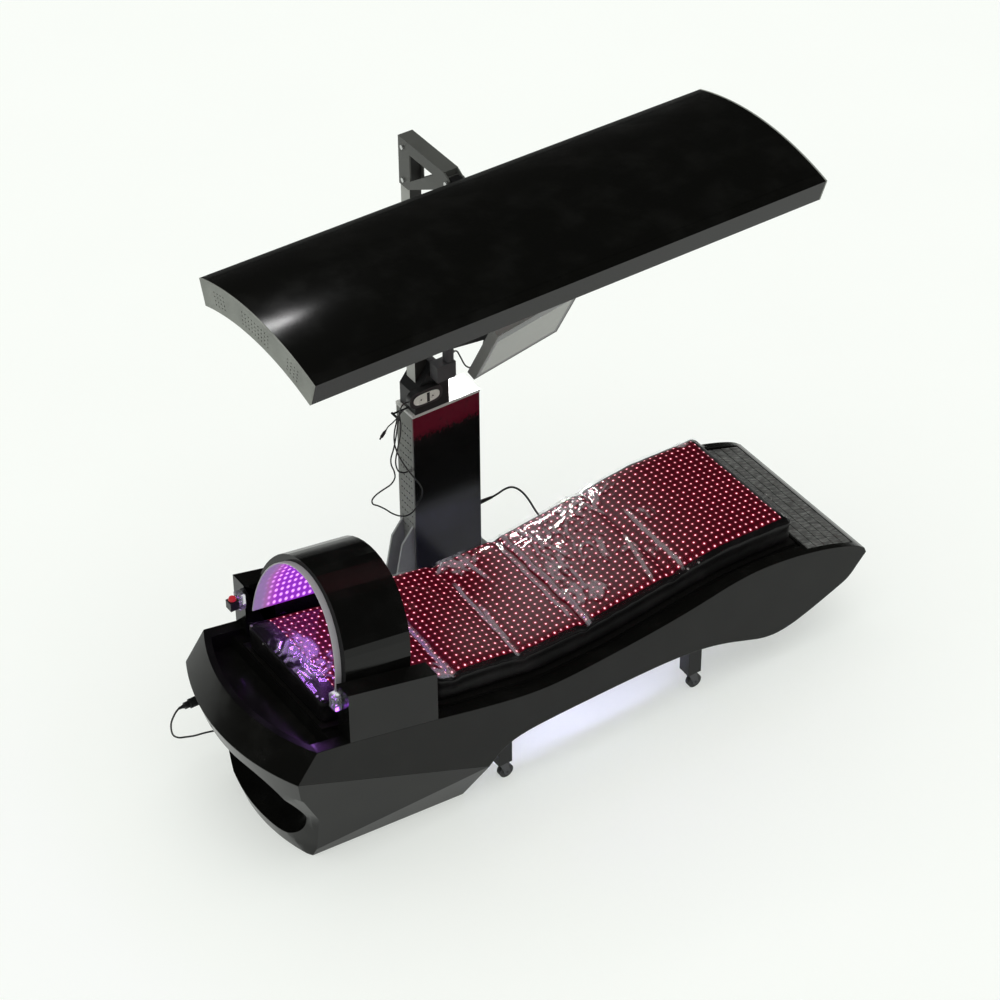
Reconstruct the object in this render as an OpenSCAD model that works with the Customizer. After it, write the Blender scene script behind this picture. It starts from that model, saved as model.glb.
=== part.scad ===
// Red light therapy recliner: a wave-shaped bed with a light mat, a head dome,
// a lift column behind it and an arched light canopy on a gallows arm.
// X runs from the head to the foot, Y from the user's near side to the column,
// Z is up, and the origin is on the floor under the middle of the bed.

/* [Bed hull] */
// Half of the bed's width at the rim
rim_half = 334; // [320:1:350]
// Wall of the moulded hull
hull_wall = 12; // [8:1:14]
// Height of the rim at the headboard
head_rim_z = 525; // [500:1:540]
// Height of the rim where it dips beside the hip
dip_rim_z = 358; // [350:1:364]
// Height of the rim beside the calves
calf_rim_z = 437; // [430:1:446]
// Height of the lower edge in the arch
arch_z = 222; // [208:1:232]
// Reach of the headboard's bow beyond its corners
head_bow = 85; // [70:1:95]
// Inward lip along the hull's lower edge
hull_lip = 18; // [10:1:24]
// Half width of the well that holds the mattress
well_half = 290; // [284:1:298]

/* [Pedestal] */
// Half width of the pedestal's foot at its head end
ped_half_head = 217; // [205:1:235]
// Half width of the pedestal's foot under the shoulders
ped_half_foot = 268; // [250:1:280]
// Radius of the scoop moulded into the pedestal's end
scoop_r = 165; // [140:1:172]
// Half of the scoop's straight run across
scoop_half = 95; // [80:1:105]

/* [Mattress] */
// Half width of the mattress below the shoulders
pad_half = 275; // [265:1:280]
// Half width of the pillow inside the dome
pillow_half = 226; // [216:1:229]
// Thickness of the mattress
pad_t = 100; // [85:1:110]
// Thickness of the board under the mattress
board_t = 12; // [8:1:16]
// Depth of the folds across the mattress
fold_d = 10; // [5:1:14]
// Thickness of the light mat
mat_t = 2.4; // [1.6:0.2:3.2]
// Margin of dark cover beside the light mat
mat_border = 30; // [22:1:36]
// Thickness of the clear protective film
film_t = 0.6; // [0.4:0.1:1]

/* [Head dome] */
// Half width of the dome's inner liner
liner_half = 240; // [236:1:242]
// Height of the dome's inner liner over its base line
liner_h = 300; // [270:1:304]
// Wall of the opal liner
liner_wall = 4; // [3:0.5:6]
// Length of the dome along the bed
dome_l = 250; // [230:1:270]
// Wall of the dome's outer shell
dome_wall = 6; // [4:0.5:7]
// Slope of the head section and of the dome on it
dome_pitch = 9; // [7:0.5:11]
// Radius of the dome's hinge pins
dome_pin_r = 4; // [3:0.5:5]
// Thickness of the cheek blocks outside the dome
cheek_t = 66; // [60:1:68]

/* [Column] */
// Width of the column across its front
col_w = 256; // [240:1:280]
// Depth of the column
col_d = 98; // [92:1:110]
// Height of the column's lid over the floor
col_h = 816; // [780:1:860]
// Distance of the column's front from the bed's middle line
col_y = 550; // [540:1:600]
// Wall of the sheet metal
sheet_t = 3; // [2:0.5:4]
// Thickness of the floor plate
plate_t = 12; // [8:1:16]
// Height of the gussets on the mast's side of the column
gusset_h = 350; // [300:1:380]
// Height of the gussets on the column's other side
gusset_low_h = 190; // [150:1:240]

/* [Mast and arm] */
// Width of the mast across its front
mast_w = 42; // [38:1:48]
// Depth of the mast
mast_d = 50; // [44:1:54]
// Height of the mast's top at rest
mast_top = 1820; // [1760:1:1880]
// Wall of the mast tube
mast_wall = 3; // [2:0.5:4]
// Downward travel of the lift
lift_travel = 380; // [300:1:400]
// Reach of the gallows arm in front of the mast
arm_reach = 205; // [190:1:215]
// Depth of the arm's triangular side plates at the mast
arm_plate_h = 165; // [120:1:190]

/* [Canopy] */
// Length of the canopy
can_l = 1768; // [1600:1:1850]
// Width of the canopy across its long edges
can_w = 620; // [560:1:625]
// Rise of the canopy's arch
can_rise = 50; // [40:1:60]
// Thickness of the canopy
can_t = 85; // [70:1:95]
// Wall of the canopy's shell
can_wall = 4; // [3:0.5:6]
// Radius of the canopy's tilt pin
tilt_pin_r = 6; // [4:0.5:7]

/* [Screen] */
// Width of the screen's casing
mon_w = 370; // [330:1:390]
// Height of the screen's casing
mon_h = 253; // [220:1:270]
// Thickness of the screen's casing
mon_t = 34; // [28:1:40]
// Forward tilt of the screen at rest
mon_tilt = 26; // [15:1:32]
// Turn of the screen towards the foot at rest
mon_turn = 10; // [5:1:15]

/* [Casters] */
// Radius of the caster wheels
wheel_r = 25; // [22:0.5:27]
// Width of the caster wheels
wheel_w = 18; // [14:0.5:20]
// Height of a caster
caster_h = 75; // [70:1:90]
// Side of the square leg posts
post_w = 50; // [44:1:56]
// Place of the head-side legs
leg_x_head = -310; // [-330:1:-290]
// Place of the foot-side legs
leg_x_foot = 430; // [410:1:440]
// Distance of the legs from the middle line
leg_y = 272; // [262:1:276]

/* [Fits] */
// Clearance of a turning or sliding fit on the radius
run_gap = 0.08; // [0.05:0.01:0.1]
// Gap where two pieces of one body lie against each other
seat_gap = 0.2; // [0.1:0.05:0.3]
// Gap between pieces that move past each other
free_gap = 2; // [1:0.5:3]

/* [Hidden] */
$fn = 48;

// Finishes as the photograph shows them
black_gloss = [0.05, 0.05, 0.06];
black_soft = [0.09, 0.09, 0.10];
steel_grey = [0.62, 0.63, 0.65];
plate_grey = [0.45, 0.46, 0.48];
opal = [0.93, 0.90, 0.95];
glow_red = [0.75, 0.10, 0.30];

// Side outline of the rim, from the headboard to the tip
head_corner_x = -1003;
head_foot_x = -1070;
head_far_x = -1170;
// The bow meets the sides a little headward of the outline's corners
bow_lead = 4;
tip_x = 1086;
crest_x = 650;
// A chain of points with its corners cut once and its ends kept
function eased(p) = concat([p[0]],
  [for (i = [0 : len(p) - 2]) each [0.75 * p[i] + 0.25 * p[i + 1], 0.25 * p[i] + 0.75 * p[i + 1]]],
  [p[len(p) - 1]]);
RIM = concat(
  [[head_far_x, head_rim_z], [head_corner_x + bow_lead, head_rim_z], [-893, head_rim_z - 19]],
  eased(eased([
    [-572, dip_rim_z + 78], [-400, dip_rim_z + 37], [-250, dip_rim_z + 8], [-130, dip_rim_z],
    [60, dip_rim_z + 11], [253, dip_rim_z + 28], [400, dip_rim_z + 48], [540, calf_rim_z - 5],
    [crest_x, calf_rim_z + 2], [775, calf_rim_z - 11], [893, calf_rim_z - 35], [985, calf_rim_z - 63],
    [1055, calf_rim_z - 92], [tip_x, calf_rim_z - 117]
  ])));

// Side outline of the hull's lower edge
seam_head_z = 429;
seam_foot_x = -393;
seam_foot_z = 141;
blunt_x = 1094;
blunt_z = 300;
LOWER = concat(
  [[head_far_x, seam_head_z], [head_foot_x, seam_head_z]],
  eased(eased([
    [seam_foot_x, seam_foot_z], [-345, arch_z - 34], [-270, arch_z - 8], [-120, arch_z],
    [180, arch_z + 5], [330, arch_z + 1], [440, arch_z - 13], [530, arch_z - 37], [610, arch_z - 67],
    [680, arch_z - 92], [745, arch_z - 98], [829, arch_z - 80], [991, arch_z - 16],
    [1030, arch_z + 4], [1068, arch_z + 50], [blunt_x, blunt_z]
  ])));
function seam(x) = lookup(x, [[head_foot_x, seam_head_z], [seam_foot_x, seam_foot_z]]);

// Top of the mattress along the bed, and its folds
pad_head_x = -925;
pad_foot_x = 840;
PAD = [
  [pad_head_x, 603], [-500, 514], [-160, 457], [80, 465], [210, 480],
  [320, 498], [456, 516], [560, 525], [670, 523], [pad_foot_x, 518]
];
folds = [-470, -220, 20, 360];
fold_w = 20;
crown = 5;
// Each section of the mattress rises to its crown and dips to the fold beside it
pad_ends = concat([pad_head_x], folds, [pad_foot_x]);
function section_at(x) = max([for (i = [0 : len(folds)]) if (x >= pad_ends[i]) i]);
function crown_at(x) =
  let (i = section_at(x), a = pad_ends[i], b = pad_ends[i + 1])
  crown * (1 - pow((2 * x - a - b) / (b - a), 2));
function fold_dip(x) = fold_d * max([for (f = folds) max(0, 1 - pow((x - f) / fold_w, 2))]);
function pad_top(x) = lookup(x, PAD) - fold_dip(x) + crown_at(x);
function pad_bottom(x) = lookup(x, PAD) - pad_t;
pad_step = 55;
pad_xs = concat([for (i = [0 : len(folds)])
  let (a = pad_ends[i], b = pad_ends[i + 1], n = round((b - a - 2 * fold_w) / pad_step))
  each concat([a, a + fold_w / 2],
    [for (k = [0 : n]) a + fold_w + k * (b - a - 2 * fold_w) / n], [b - fold_w / 2])], [pad_foot_x]);
pad_steps = len(pad_xs) - 1;

// Reach of the cheek blocks beside the dome along the bed
cheek_x0 = -888;
cheek_x1 = -578;

// Floor of the well in the hull, the trough behind the pillow and the tread's recess
trough_z = 455;
tread_head_x = 862;
tread_foot_x = 1052;
tread_head_z = calf_rim_z - 45;
tread_foot_z = calf_rim_z - 106;
open_z = 700;
well_end_x = pad_foot_x + 8;
function deck(x) =
  x < pad_head_x - 12 ? trough_z
  : x <= well_end_x ? pad_bottom(x) - board_t
  : x < tread_head_x ? open_z
  : lookup(x, [[tread_head_x, tread_head_z], [tread_foot_x, tread_foot_z]]);
hull_xs = [
  -925, -893, -572, -500, -378, -160, 80, 210, 320, 456, 560, 670, 775, 840,
  well_end_x, well_end_x + 1, tread_head_x - 1, tread_head_x, tread_foot_x
];
function under(x) = min(lookup(x, RIM), deck(x)) - hull_wall;
UNDER = [for (x = hull_xs) [x, under(x)]];

// The bow of the headboard and of the pedestal's end, cones about one upright axis
bow_r_top = (pow(rim_half, 2) + pow(head_bow, 2)) / (2 * head_bow);
bow_x = head_corner_x - head_bow + bow_r_top;
function bow_radius(x, y) = norm([bow_x - x, y]);
bow_r_seam = bow_radius(head_foot_x - bow_lead, rim_half);
ped_foot_x = -990;
ped_toe_x = -453;
bow_r_floor = bow_radius(ped_foot_x, ped_half_head);

// A slab across the bed, cut to a side outline of [x, z] points
module across(outline, half) {
  rotate([90, 0, 0]) linear_extrude(2 * half, center = true) polygon(outline);
}
// The same between two distances from the middle line, on the side that s gives
module across_side(outline, y0, y1, s) {
  translate([0, s > 0 ? y1 : -y0, 0]) rotate([90, 0, 0]) linear_extrude(y1 - y0) polygon(outline);
}
// A ring sector about the X axis, centred on straight up
module arc_sector(r0, r1, half_angle, l) {
  rotate([0, 90, 0]) rotate([0, 0, 180 - half_angle])
    rotate_extrude(angle = 2 * half_angle, $fn = 96) translate([r0, 0]) square([r1 - r0, l]);
}
// A round boss of height h on a flat face: at gives its centre, face the face's place along the way out
module cable_boss(at, face, out, h, r) {
  along_x = abs(out[0]) > 0;
  translate([along_x ? face : at[0], along_x ? at[1] : face, at[2]])
    rotate(along_x ? [0, 90 * out[0], 0] : [-90 * out[1], 0, 0])
      translate([0, 0, -1]) cylinder(h = h + 1, r = r);
}
// A box with its corners rounded in plan
module rounded_plate(l, w, h, r) {
  linear_extrude(h) {
    translate([-l / 2 + r, -w / 2]) square([l - 2 * r, w]);
    translate([-l / 2, -w / 2 + r]) square([l, w - 2 * r]);
    for (sx = [-1, 1], sy = [-1, 1]) translate([sx * (l / 2 - r), sy * (w / 2 - r)]) circle(r);
  }
}

// BED

module bow_volume(z0, r0, z1, r1) {
  translate([bow_x, 0, z0]) cylinder(h = z1 - z0, r1 = r0, r2 = r1, $fn = 96);
  translate([bow_x, -rim_half - 10, z0]) cube([blunt_x - bow_x + 20, 2 * rim_half + 20, z1 - z0]);
}

module hull_outer() {
  n = len(LOWER);
  across(concat(RIM, [for (i = [n - 1 : -1 : 0]) LOWER[i]]), rim_half);
}

head_slope = (bow_r_seam - bow_r_top) / (head_rim_z - seam_head_z);
bow_z_top = 720;
bow_z_low = 100;
trough_x = -985;

module upper_hull() {
  color(black_gloss) {
    hull_body();
    // Socket of the cable from the column
    cable_boss(bed_socket, rim_half, [0, 1, 0], 8, 7);
  }
}
module hull_body() {
  difference() {
    intersection() {
      hull_outer();
      bow_volume(bow_z_low, bow_r_top + head_slope * (head_rim_z - bow_z_low),
                 bow_z_top, bow_r_top - head_slope * (bow_z_top - head_rim_z));
    }
    // Well for the mattress and trough behind the pillow
    across(concat([[pad_head_x - 12, trough_z]],
      [for (x = hull_xs) if (x <= well_end_x) [x, deck(x)]],
      [[well_end_x, open_z], [pad_head_x - 12, open_z]]), well_half);
    intersection() {
      across([[trough_x - 90, trough_z], [pad_head_x - 10, trough_z],
              [pad_head_x - 10, open_z], [trough_x - 90, open_z]], well_half);
      translate([bow_x, 0, trough_z - 1]) cylinder(h = 300, r = bow_r_top - 22, $fn = 96);
    }
    // Recess for the tread
    across([[tread_head_x, tread_head_z], [tread_foot_x, tread_foot_z],
            [tread_foot_x, open_z], [tread_head_x, open_z]], rim_half - 24);
    // Hollow under the deck, with a lip left along the lower edge
    across(concat(UNDER, [[tread_foot_x, -10], [-925, -10]]), rim_half - hull_wall - hull_lip);
    across(concat(UNDER,
      [for (i = [len(LOWER) - 1 : -1 : 3]) if (LOWER[i][0] < tread_foot_x) LOWER[i] + [0, 5]],
      [[seam_foot_x, seam_foot_z + 5], [-925, seam(-925) + 5]]), rim_half - hull_wall);
  }
}

ped_top_z = seam_head_z;
ped_wall = 14;
function ped_line(x) = seam(x) - seat_gap;
// One side of the block: its far corner, the bow's corner, the seam's foot, the toe and the far foot
function ped_side(s) =
  let (corner = [head_foot_x, s * rim_half, ped_line(head_foot_x)],
       foot = [seam_foot_x, s * rim_half, ped_line(seam_foot_x)],
       far_foot = [head_far_x, s * ped_half_head, 0],
       square = cross(foot - corner, far_foot - corner),
       run = head_far_x - head_foot_x)
  [corner + [run, -square[0] * run / square[1], 0], corner, foot, [ped_toe_x, s * ped_half_foot, 0], far_foot];
module pedestal_block() {
  polyhedron(concat(ped_side(1), ped_side(-1)),
    [[0, 4, 2, 1], [4, 3, 2], [5, 6, 7, 9], [9, 7, 8], [0, 1, 6, 5], [1, 2, 7, 6],
     [2, 3, 8, 7], [4, 9, 8, 3], [0, 5, 9, 4]]);
}
// Socket in the headboard end and the outlet on the far side
head_socket = [-1074, 275, 312];
head_outlet = [-960, 268, 90];
module head_pedestal() {
  color(black_gloss) {
    pedestal_body();
    translate(head_socket) rotate([0, 90, 0]) cylinder(h = 34, r = 17);
    translate(head_outlet) rotate([90, 0, 0]) cylinder(h = 38, r = 7);
  }
}
// The end draws in towards the floor, rounded about an upright axis: [radius, height] points
round_x = -630;
round_r_top = 600;
ROUND = [[420, -1], [420, 0], [428, 60], [455, 200], [520, 330], [round_r_top, ped_top_z + 1]];
module round_volume() {
  translate([round_x, 0, 0]) rotate_extrude($fn = 96)
    polygon(concat([[0, -1]], ROUND, [[0, ped_top_z + 1]]));
  translate([round_x, -rim_half - 10, -1]) cube([blunt_x - round_x, 2 * rim_half + 20, ped_top_z + 2]);
}
module pedestal_body() {
  difference() {
    intersection() {
      pedestal_block();
      bow_volume(-1, bow_r_floor, ped_top_z + 1, bow_r_seam);
      round_volume();
    }
    // Scoop in the end, a capsule lying across the bed
    translate([head_foot_x + 18, 0, 218]) rotate([90, 0, 0]) {
      cylinder(h = 2 * scoop_half, r = scoop_r, center = true, $fn = 64);
      for (s = [-1, 1]) translate([0, 0, s * scoop_half]) sphere(r = scoop_r, $fn = 64);
    }
    // Hollow body behind it, open to the floor
    across([[-870, -1], [-870, ped_line(-870) - 30], [-500, ped_line(-500) - 30], [-500, -1]],
           ped_half_head - ped_wall);
  }
}

// Ribbed step panel at the foot end
tread_rise = tread_head_z - tread_foot_z;
tread_run = tread_foot_x - tread_head_x;
tread_t = 12;
// Short enough that its thickness clears the recess's foot wall
tread_len = norm([tread_run, tread_rise]) - 2 - (tread_t + seat_gap) * tread_rise / tread_run;
tread_half = rim_half - 26;
plank_count = 5;
groove_w = 4;
plank_w = tread_len / plank_count - groove_w;
module foot_tread() {
  color(plate_grey)
    translate([tread_head_x, 0, tread_head_z]) rotate([0, atan2(tread_rise, tread_run), 0])
      translate([1, 0, seat_gap]) {
        translate([0, -tread_half, 0]) cube([tread_len, 2 * tread_half, 5]);
        for (i = [0 : plank_count - 1])
          translate([(i + 0.5) * tread_len / plank_count - plank_w / 2, -tread_half + 4, 4])
            cube([plank_w, 2 * tread_half - 8, tread_t - 4]);
      }
}

// Steel frame inside the hull
rail = 40;
rail_y = 200;
rail_x0 = -720;
rail_x1 = 760;
rail_top = min([for (p = UNDER) if (p[0] > rail_x0 && p[0] < rail_x1) p[1]]) - seat_gap;
cross_half = leg_y + post_w / 2;
link_x = 40;
link_y = 110;
module stand_off(x0, x1, y0) {
  for (s = [-1, 1])
    across_side([[x0, rail_top - 1], [x1, rail_top - 1], [x1, lookup(x1, UNDER) - seat_gap],
                 [x0, lookup(x0, UNDER) - seat_gap]], y0, y0 + rail, s);
}
module base_frame() {
  color(steel_grey) {
    for (s = [-1, 1])
      translate([rail_x0, s * rail_y - rail / 2, rail_top - rail]) cube([rail_x1 - rail_x0, rail, rail]);
    for (x = [leg_x_head, leg_x_foot])
      translate([x - post_w / 2, -cross_half, rail_top - rail]) cube([post_w, 2 * cross_half, rail]);
    for (x = [rail_x0, rail_x1 - rail])
      translate([x, -rail_y, rail_top - rail]) cube([rail, 2 * rail_y, rail]);
    for (x = [leg_x_head, leg_x_foot]) stand_off(x - 20, x + 20, rail_y - rail / 2);
    // Saddle on the pedestal
    for (s = [-1, 1])
      across_side([[rail_x0, rail_top - rail + 1], [rail_x0 + rail, rail_top - rail + 1],
                   [rail_x0 + rail, seam(rail_x0 + rail)], [rail_x0, seam(rail_x0)]],
                  rail_y - rail / 2, rail_y + rail / 2, s);
    // Posts down to the column's floor plate
    translate([link_x - rail / 2, -rail_y, rail_top - rail]) cube([rail, 2 * rail_y, rail]);
    for (y = [0, link_y])
      translate([link_x - rail / 2, y, plate_t + seat_gap]) cube([rail, rail, rail_top - plate_t - rail]);
  }
}

module at_leg(fx, fy) {
  translate([fx > 0 ? leg_x_foot : leg_x_head, fy * leg_y, 0]) children();
}
stem_r = 5;
module leg_posts() {
  color(black_soft) for (fx = [-1, 1], fy = [-1, 1]) at_leg(fx, fy)
    difference() {
      translate([-post_w / 2, -post_w / 2, caster_h + 0.3])
        cube([post_w, post_w, rail_top - rail - seat_gap - caster_h - 0.3]);
      translate([0, 0, caster_h - 1]) cylinder(h = 42, r = stem_r + run_gap);
    }
}

trail = 14;
fork_w = wheel_w + 12;
axle_r = 4;
module fork(fx, fy) {
  color(steel_grey) at_leg(fx, fy) difference() {
    union() {
      translate([0, 0, caster_h - 5]) cylinder(h = 5, r = 22);
      translate([0, 0, caster_h - 1]) cylinder(h = 38, r = stem_r);
      for (s = [-1, 1]) translate([0, s * (fork_w / 2 - 1.5) + 1.5, 0]) rotate([90, 0, 0])
        linear_extrude(3) {
          translate([trail, wheel_r]) circle(11);
          polygon([[-16, caster_h - 4], [16, caster_h - 4], [trail + 10, wheel_r], [trail - 10, wheel_r]]);
        }
    }
    translate([trail, 0, wheel_r]) rotate([90, 0, 0]) cylinder(h = fork_w + 20, r = axle_r + run_gap, center = true);
  }
}
module wheel(fx, fy) {
  color(black_soft) at_leg(fx, fy) translate([trail, 0, wheel_r]) rotate([90, 0, 0]) {
    cylinder(h = wheel_w, r = wheel_r, center = true);
    cylinder(h = wheel_w + 4, r = 9, center = true);
    cylinder(h = fork_w + 2, r = axle_r, center = true);
  }
}
module fork_head_near() { fork(-1, -1); }
module fork_head_far() { fork(-1, 1); }
module fork_foot_near() { fork(1, -1); }
module fork_foot_far() { fork(1, 1); }
module wheel_head_near() { wheel(-1, -1); }
module wheel_head_far() { wheel(-1, 1); }
module wheel_foot_near() { wheel(1, -1); }
module wheel_foot_far() { wheel(1, 1); }

// Lamp driver under the rails and the light strip that washes the floor
driver_l = 240;
driver_h = 52;
module driver_box() {
  color(steel_grey) translate([link_x - rail / 2 - 4 - driver_l, -rail_y - 10, rail_top - rail - seat_gap - driver_h])
    difference() {
      cube([driver_l, 2 * rail_y + 20, driver_h]);
      for (i = [1 : 8]) translate([i * driver_l / 9 - 4, -1, 14]) cube([8, 8, 24]);
    }
}
module underglow_strip() {
  color(opal) for (s = [-1, 1])
    translate([-260, s > 0 ? rim_half - hull_wall - seat_gap - 8 : -rim_half + hull_wall + seat_gap, arch_z + 50])
      cube([600, 8, 10]);
}

// MATTRESS

// The mattress widens just past the cheek blocks
plan_head = cheek_x1 + free_gap;
plan_waist = cheek_x1 + 58;
// Its outline in plan, set back by margins at the head and the foot
module plan_outline(head_half, main_half, margins) {
  linear_extrude(1200) polygon([
    [pad_head_x + margins[0], -head_half], [plan_head, -head_half], [plan_waist, -main_half],
    [pad_foot_x - margins[1], -main_half], [pad_foot_x - margins[1], main_half], [plan_waist, main_half],
    [plan_head, head_half], [pad_head_x + margins[0], head_half]]);
}
module pad_layer(z0, z1, head_half, main_half, margins) {
  n = len(pad_xs);
  intersection() {
    across(concat([for (x = pad_xs) [x, pad_top(x) + z1]],
                  [for (i = [n - 1 : -1 : 0]) [pad_xs[i], pad_top(pad_xs[i]) + z0]]), main_half + 20);
    plan_outline(head_half, main_half, margins);
  }
}
board_half = pad_half - 5;
cheek_ledge_y = liner_half - 2;
module pad_board() {
  xs = [for (x = hull_xs) if (x <= pad_foot_x) x];
  color(black_soft) intersection() {
    across(concat([for (x = pad_xs) [x, pad_bottom(x) - seat_gap]],
                  [for (i = [len(xs) - 1 : -1 : 0]) [xs[i], deck(xs[i]) + seat_gap]]), board_half);
    plan_outline(cheek_ledge_y - 6, board_half, [0, 0]);
  }
}

function pad_width(x) = lookup(x, [[pad_head_x, pillow_half - 4], [pad_head_x + 14, pillow_half],
  [plan_head, pillow_half], [plan_waist, pad_half], [pad_foot_x - 10, pad_half], [pad_foot_x, pad_half - 6]]);
function pad_ring(x, inset) =
  let (w = pad_width(x) - inset, t = pad_top(x) - inset, b = pad_bottom(x) + inset / 3, m = (t + b) / 2)
  let (right = [[w - 10, b], [w - 2, b + 12], [w - 9, m], [w, t - 18], [w - 6, t - 6], [w - 24, t]])
  concat([for (p = right) [x, p[0], p[1]]], [[x, 0, t + 0.01]],
         [for (i = [len(right) - 1 : -1 : 0]) [x, -right[i][0], right[i][1]]]);
pad_rings = concat([pad_ring(pad_head_x, 12)],
  [for (i = [1 : pad_steps - 1]) pad_ring(pad_xs[i], i == 1 || i == pad_steps - 1 ? 1 : 0)],
  [pad_ring(pad_foot_x, 12)]);
// A closed tube through rings of points, each ring seen anticlockwise from its far end
module skin(rings) {
  m = len(rings[0]);
  n = len(rings);
  polyhedron([for (r = rings) for (p = r) p],
    concat(
      [[for (i = [0 : m - 1]) i]],
      [[for (i = [m - 1 : -1 : 0]) (n - 1) * m + i]],
      [for (k = [0 : n - 2], i = [0 : m - 1]) [k * m + i, (k + 1) * m + i, k * m + (i + 1) % m]],
      [for (k = [0 : n - 2], i = [0 : m - 1])
        [k * m + (i + 1) % m, (k + 1) * m + i, (k + 1) * m + (i + 1) % m]]));
}
module mattress() { color(black_soft) skin(pad_rings); }
mat_ends = [80, 42];
module light_mat() {
  color(glow_red)
    pad_layer(seat_gap, seat_gap + mat_t, pillow_half - mat_border / 2, pad_half - mat_border, mat_ends);
}
film_ends = [12, 12];
module clear_film() {
  color([0.9, 0.9, 0.95, 0.4])
    pad_layer(2 * seat_gap + mat_t, 2 * seat_gap + mat_t + film_t, pillow_half - 8, pad_half - 14,
              film_ends);
}

// HEAD DOME

dome_x = -880;
dome_z = 610;
function base_line(x) = dome_z - (x - dome_x) * tan(dome_pitch);
module dome_place() { translate([dome_x, 0, dome_z]) rotate([0, dome_pitch, 0]) children(); }
shell_x0 = 20;
shell_half = liner_half + 22;
shell_h = liner_h + 18;
shell_side = [
  [shell_half, 0], [shell_half - 7, 100], [shell_half - 47, 200], [shell_half - 134, shell_h - 28]
];
shell_outline = eased(eased(concat(shell_side, [[0, shell_h + 6]],
  [for (i = [len(shell_side) - 1 : -1 : 0]) [-shell_side[i][0], shell_side[i][1]]])));
function ellipse_half(a, b) = [for (i = [0 : 24]) [a * cos(i * 7.5), b * sin(i * 7.5)]];
module along(x0, l) { translate([x0, 0, 0]) rotate([90, 0, 90]) linear_extrude(l) children(); }

hinge_x = 35;
hinge_z = 22;
lug_t = shell_half - liner_half - 5;
module dome_shell() {
  color(black_gloss) dome_place() difference() {
    union() {
      difference() {
        along(shell_x0, dome_l - shell_x0) polygon(shell_outline);
        along(shell_x0 + 5, dome_l - shell_x0 - 10) offset(delta = -dome_wall) polygon(shell_outline);
        along(shell_x0 + 5, dome_l - shell_x0 - 10) translate([-shell_half + dome_wall, -1])
          square([2 * (shell_half - dome_wall), dome_wall + 2]);
      }
      for (s = [-1, 1]) translate([hinge_x - 12, s > 0 ? shell_half - lug_t : -shell_half, 4])
        cube([26, lug_t, 36]);
    }
    along(shell_x0 - 1, dome_l) polygon(ellipse_half(liner_half + seat_gap, liner_h + seat_gap));
    translate([0, -liner_half, -1]) cube([dome_l + 1, 2 * liner_half, 2]);
    for (s = [-1, 1]) translate([hinge_x, s * (shell_half - 9), hinge_z]) rotate([90, 0, 0])
      cylinder(h = 40, r = dome_pin_r + run_gap, center = true);
  }
}
module dome_liner() {
  color(opal) dome_place() difference() {
    along(0, dome_l) polygon(ellipse_half(liner_half, liner_h));
    along(-1, dome_l + 2) polygon(concat(ellipse_half(liner_half - liner_wall, liner_h - liner_wall),
      [[-liner_half + liner_wall, -1], [liner_half - liner_wall, -1]]));
  }
}
board_arc = 2;
module dome_light_board() {
  color(glow_red) dome_place() difference() {
    along(shell_x0 + 8, dome_l - shell_x0 - 16)
      polygon(ellipse_half(liner_half + seat_gap + board_arc, liner_h + seat_gap + board_arc));
    along(shell_x0 + 7, dome_l) polygon(ellipse_half(liner_half + seat_gap, liner_h + seat_gap));
    translate([0, -shell_half, -1]) cube([dome_l, 2 * shell_half, 46]);
  }
}

// Cheek blocks beside the dome
cheek_top0 = 692;
cheek_top1 = 620;
cheek_in = rim_half - cheek_t;
ledge_x0 = -800;
module cheek(s) {
  mid = [for (x = [cheek_x1, cheek_x0]) [x, lookup(x, RIM) + seat_gap]];
  low = [for (x = [cheek_x1, cheek_x0]) [x, deck(x) + seat_gap]];
  color(black_gloss) difference() {
    union() {
      across_side(concat([[cheek_x0, cheek_top0], [cheek_x1, cheek_top1]], mid), well_half - 1, rim_half, s);
      across_side(concat([[cheek_x0, cheek_top0], [cheek_x1, cheek_top1]], low), cheek_in, well_half - seat_gap, s);
      across_side([[ledge_x0, base_line(ledge_x0) - 1], [cheek_x1, base_line(cheek_x1) - 1],
                   [cheek_x1, deck(cheek_x1) + seat_gap], [ledge_x0, deck(ledge_x0) + seat_gap]],
                  cheek_ledge_y, cheek_in + 1, s);
    }
    dome_place() translate([hinge_x, s * (cheek_in + 16), hinge_z]) rotate([90, 0, 0])
      cylinder(h = 40, r = dome_pin_r, center = true);
  }
}
module cheek_near() { cheek(-1); }
module cheek_far() { cheek(1); }

// Clear clamps on the cheeks' head ends and the pins through the dome's lugs
clamp_l = 22;
module hinge_clamps() {
  color([0.8, 0.82, 0.85]) for (s = [-1, 1])
    translate([cheek_x0 - clamp_l - seat_gap, s > 0 ? cheek_in - 8 : -cheek_in - 26, 610]) difference() {
      cube([clamp_l, 34, 52]);
      for (z = [13, 39]) translate([-1, 17, z]) rotate([0, 90, 0]) cylinder(h = clamp_l - 8, r = 6);
    }
}
module hinge_pins() {
  color(steel_grey) dome_place() for (s = [-1, 1])
    translate([hinge_x, s * (shell_half + 6), hinge_z]) rotate([90, 0, 0])
      cylinder(h = 2 * (6 + lug_t - 3), r = dome_pin_r, center = true);
}

// Emergency stop on the far clamp
stop_x = cheek_x0 - clamp_l - 14;
stop_y = cheek_in + 9;
module stop_pod() {
  color(black_soft) difference() {
    translate([cheek_x0 - clamp_l - 2 * seat_gap - 30, cheek_in - 6, 616]) cube([30, 30, 30]);
    translate([stop_x - 1.4, stop_y, 630]) cylinder(h = 30, r = 6 + run_gap);
  }
}
module stop_button() {
  color([0.8, 0.05, 0.05]) translate([stop_x - 1.4, stop_y, 634]) {
    cylinder(h = 14, r = 6);
    translate([0, 0, 16]) cylinder(h = 8, r1 = 13, r2 = 10);
    cylinder(h = 17, r = 6);
  }
}

// COLUMN

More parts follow.
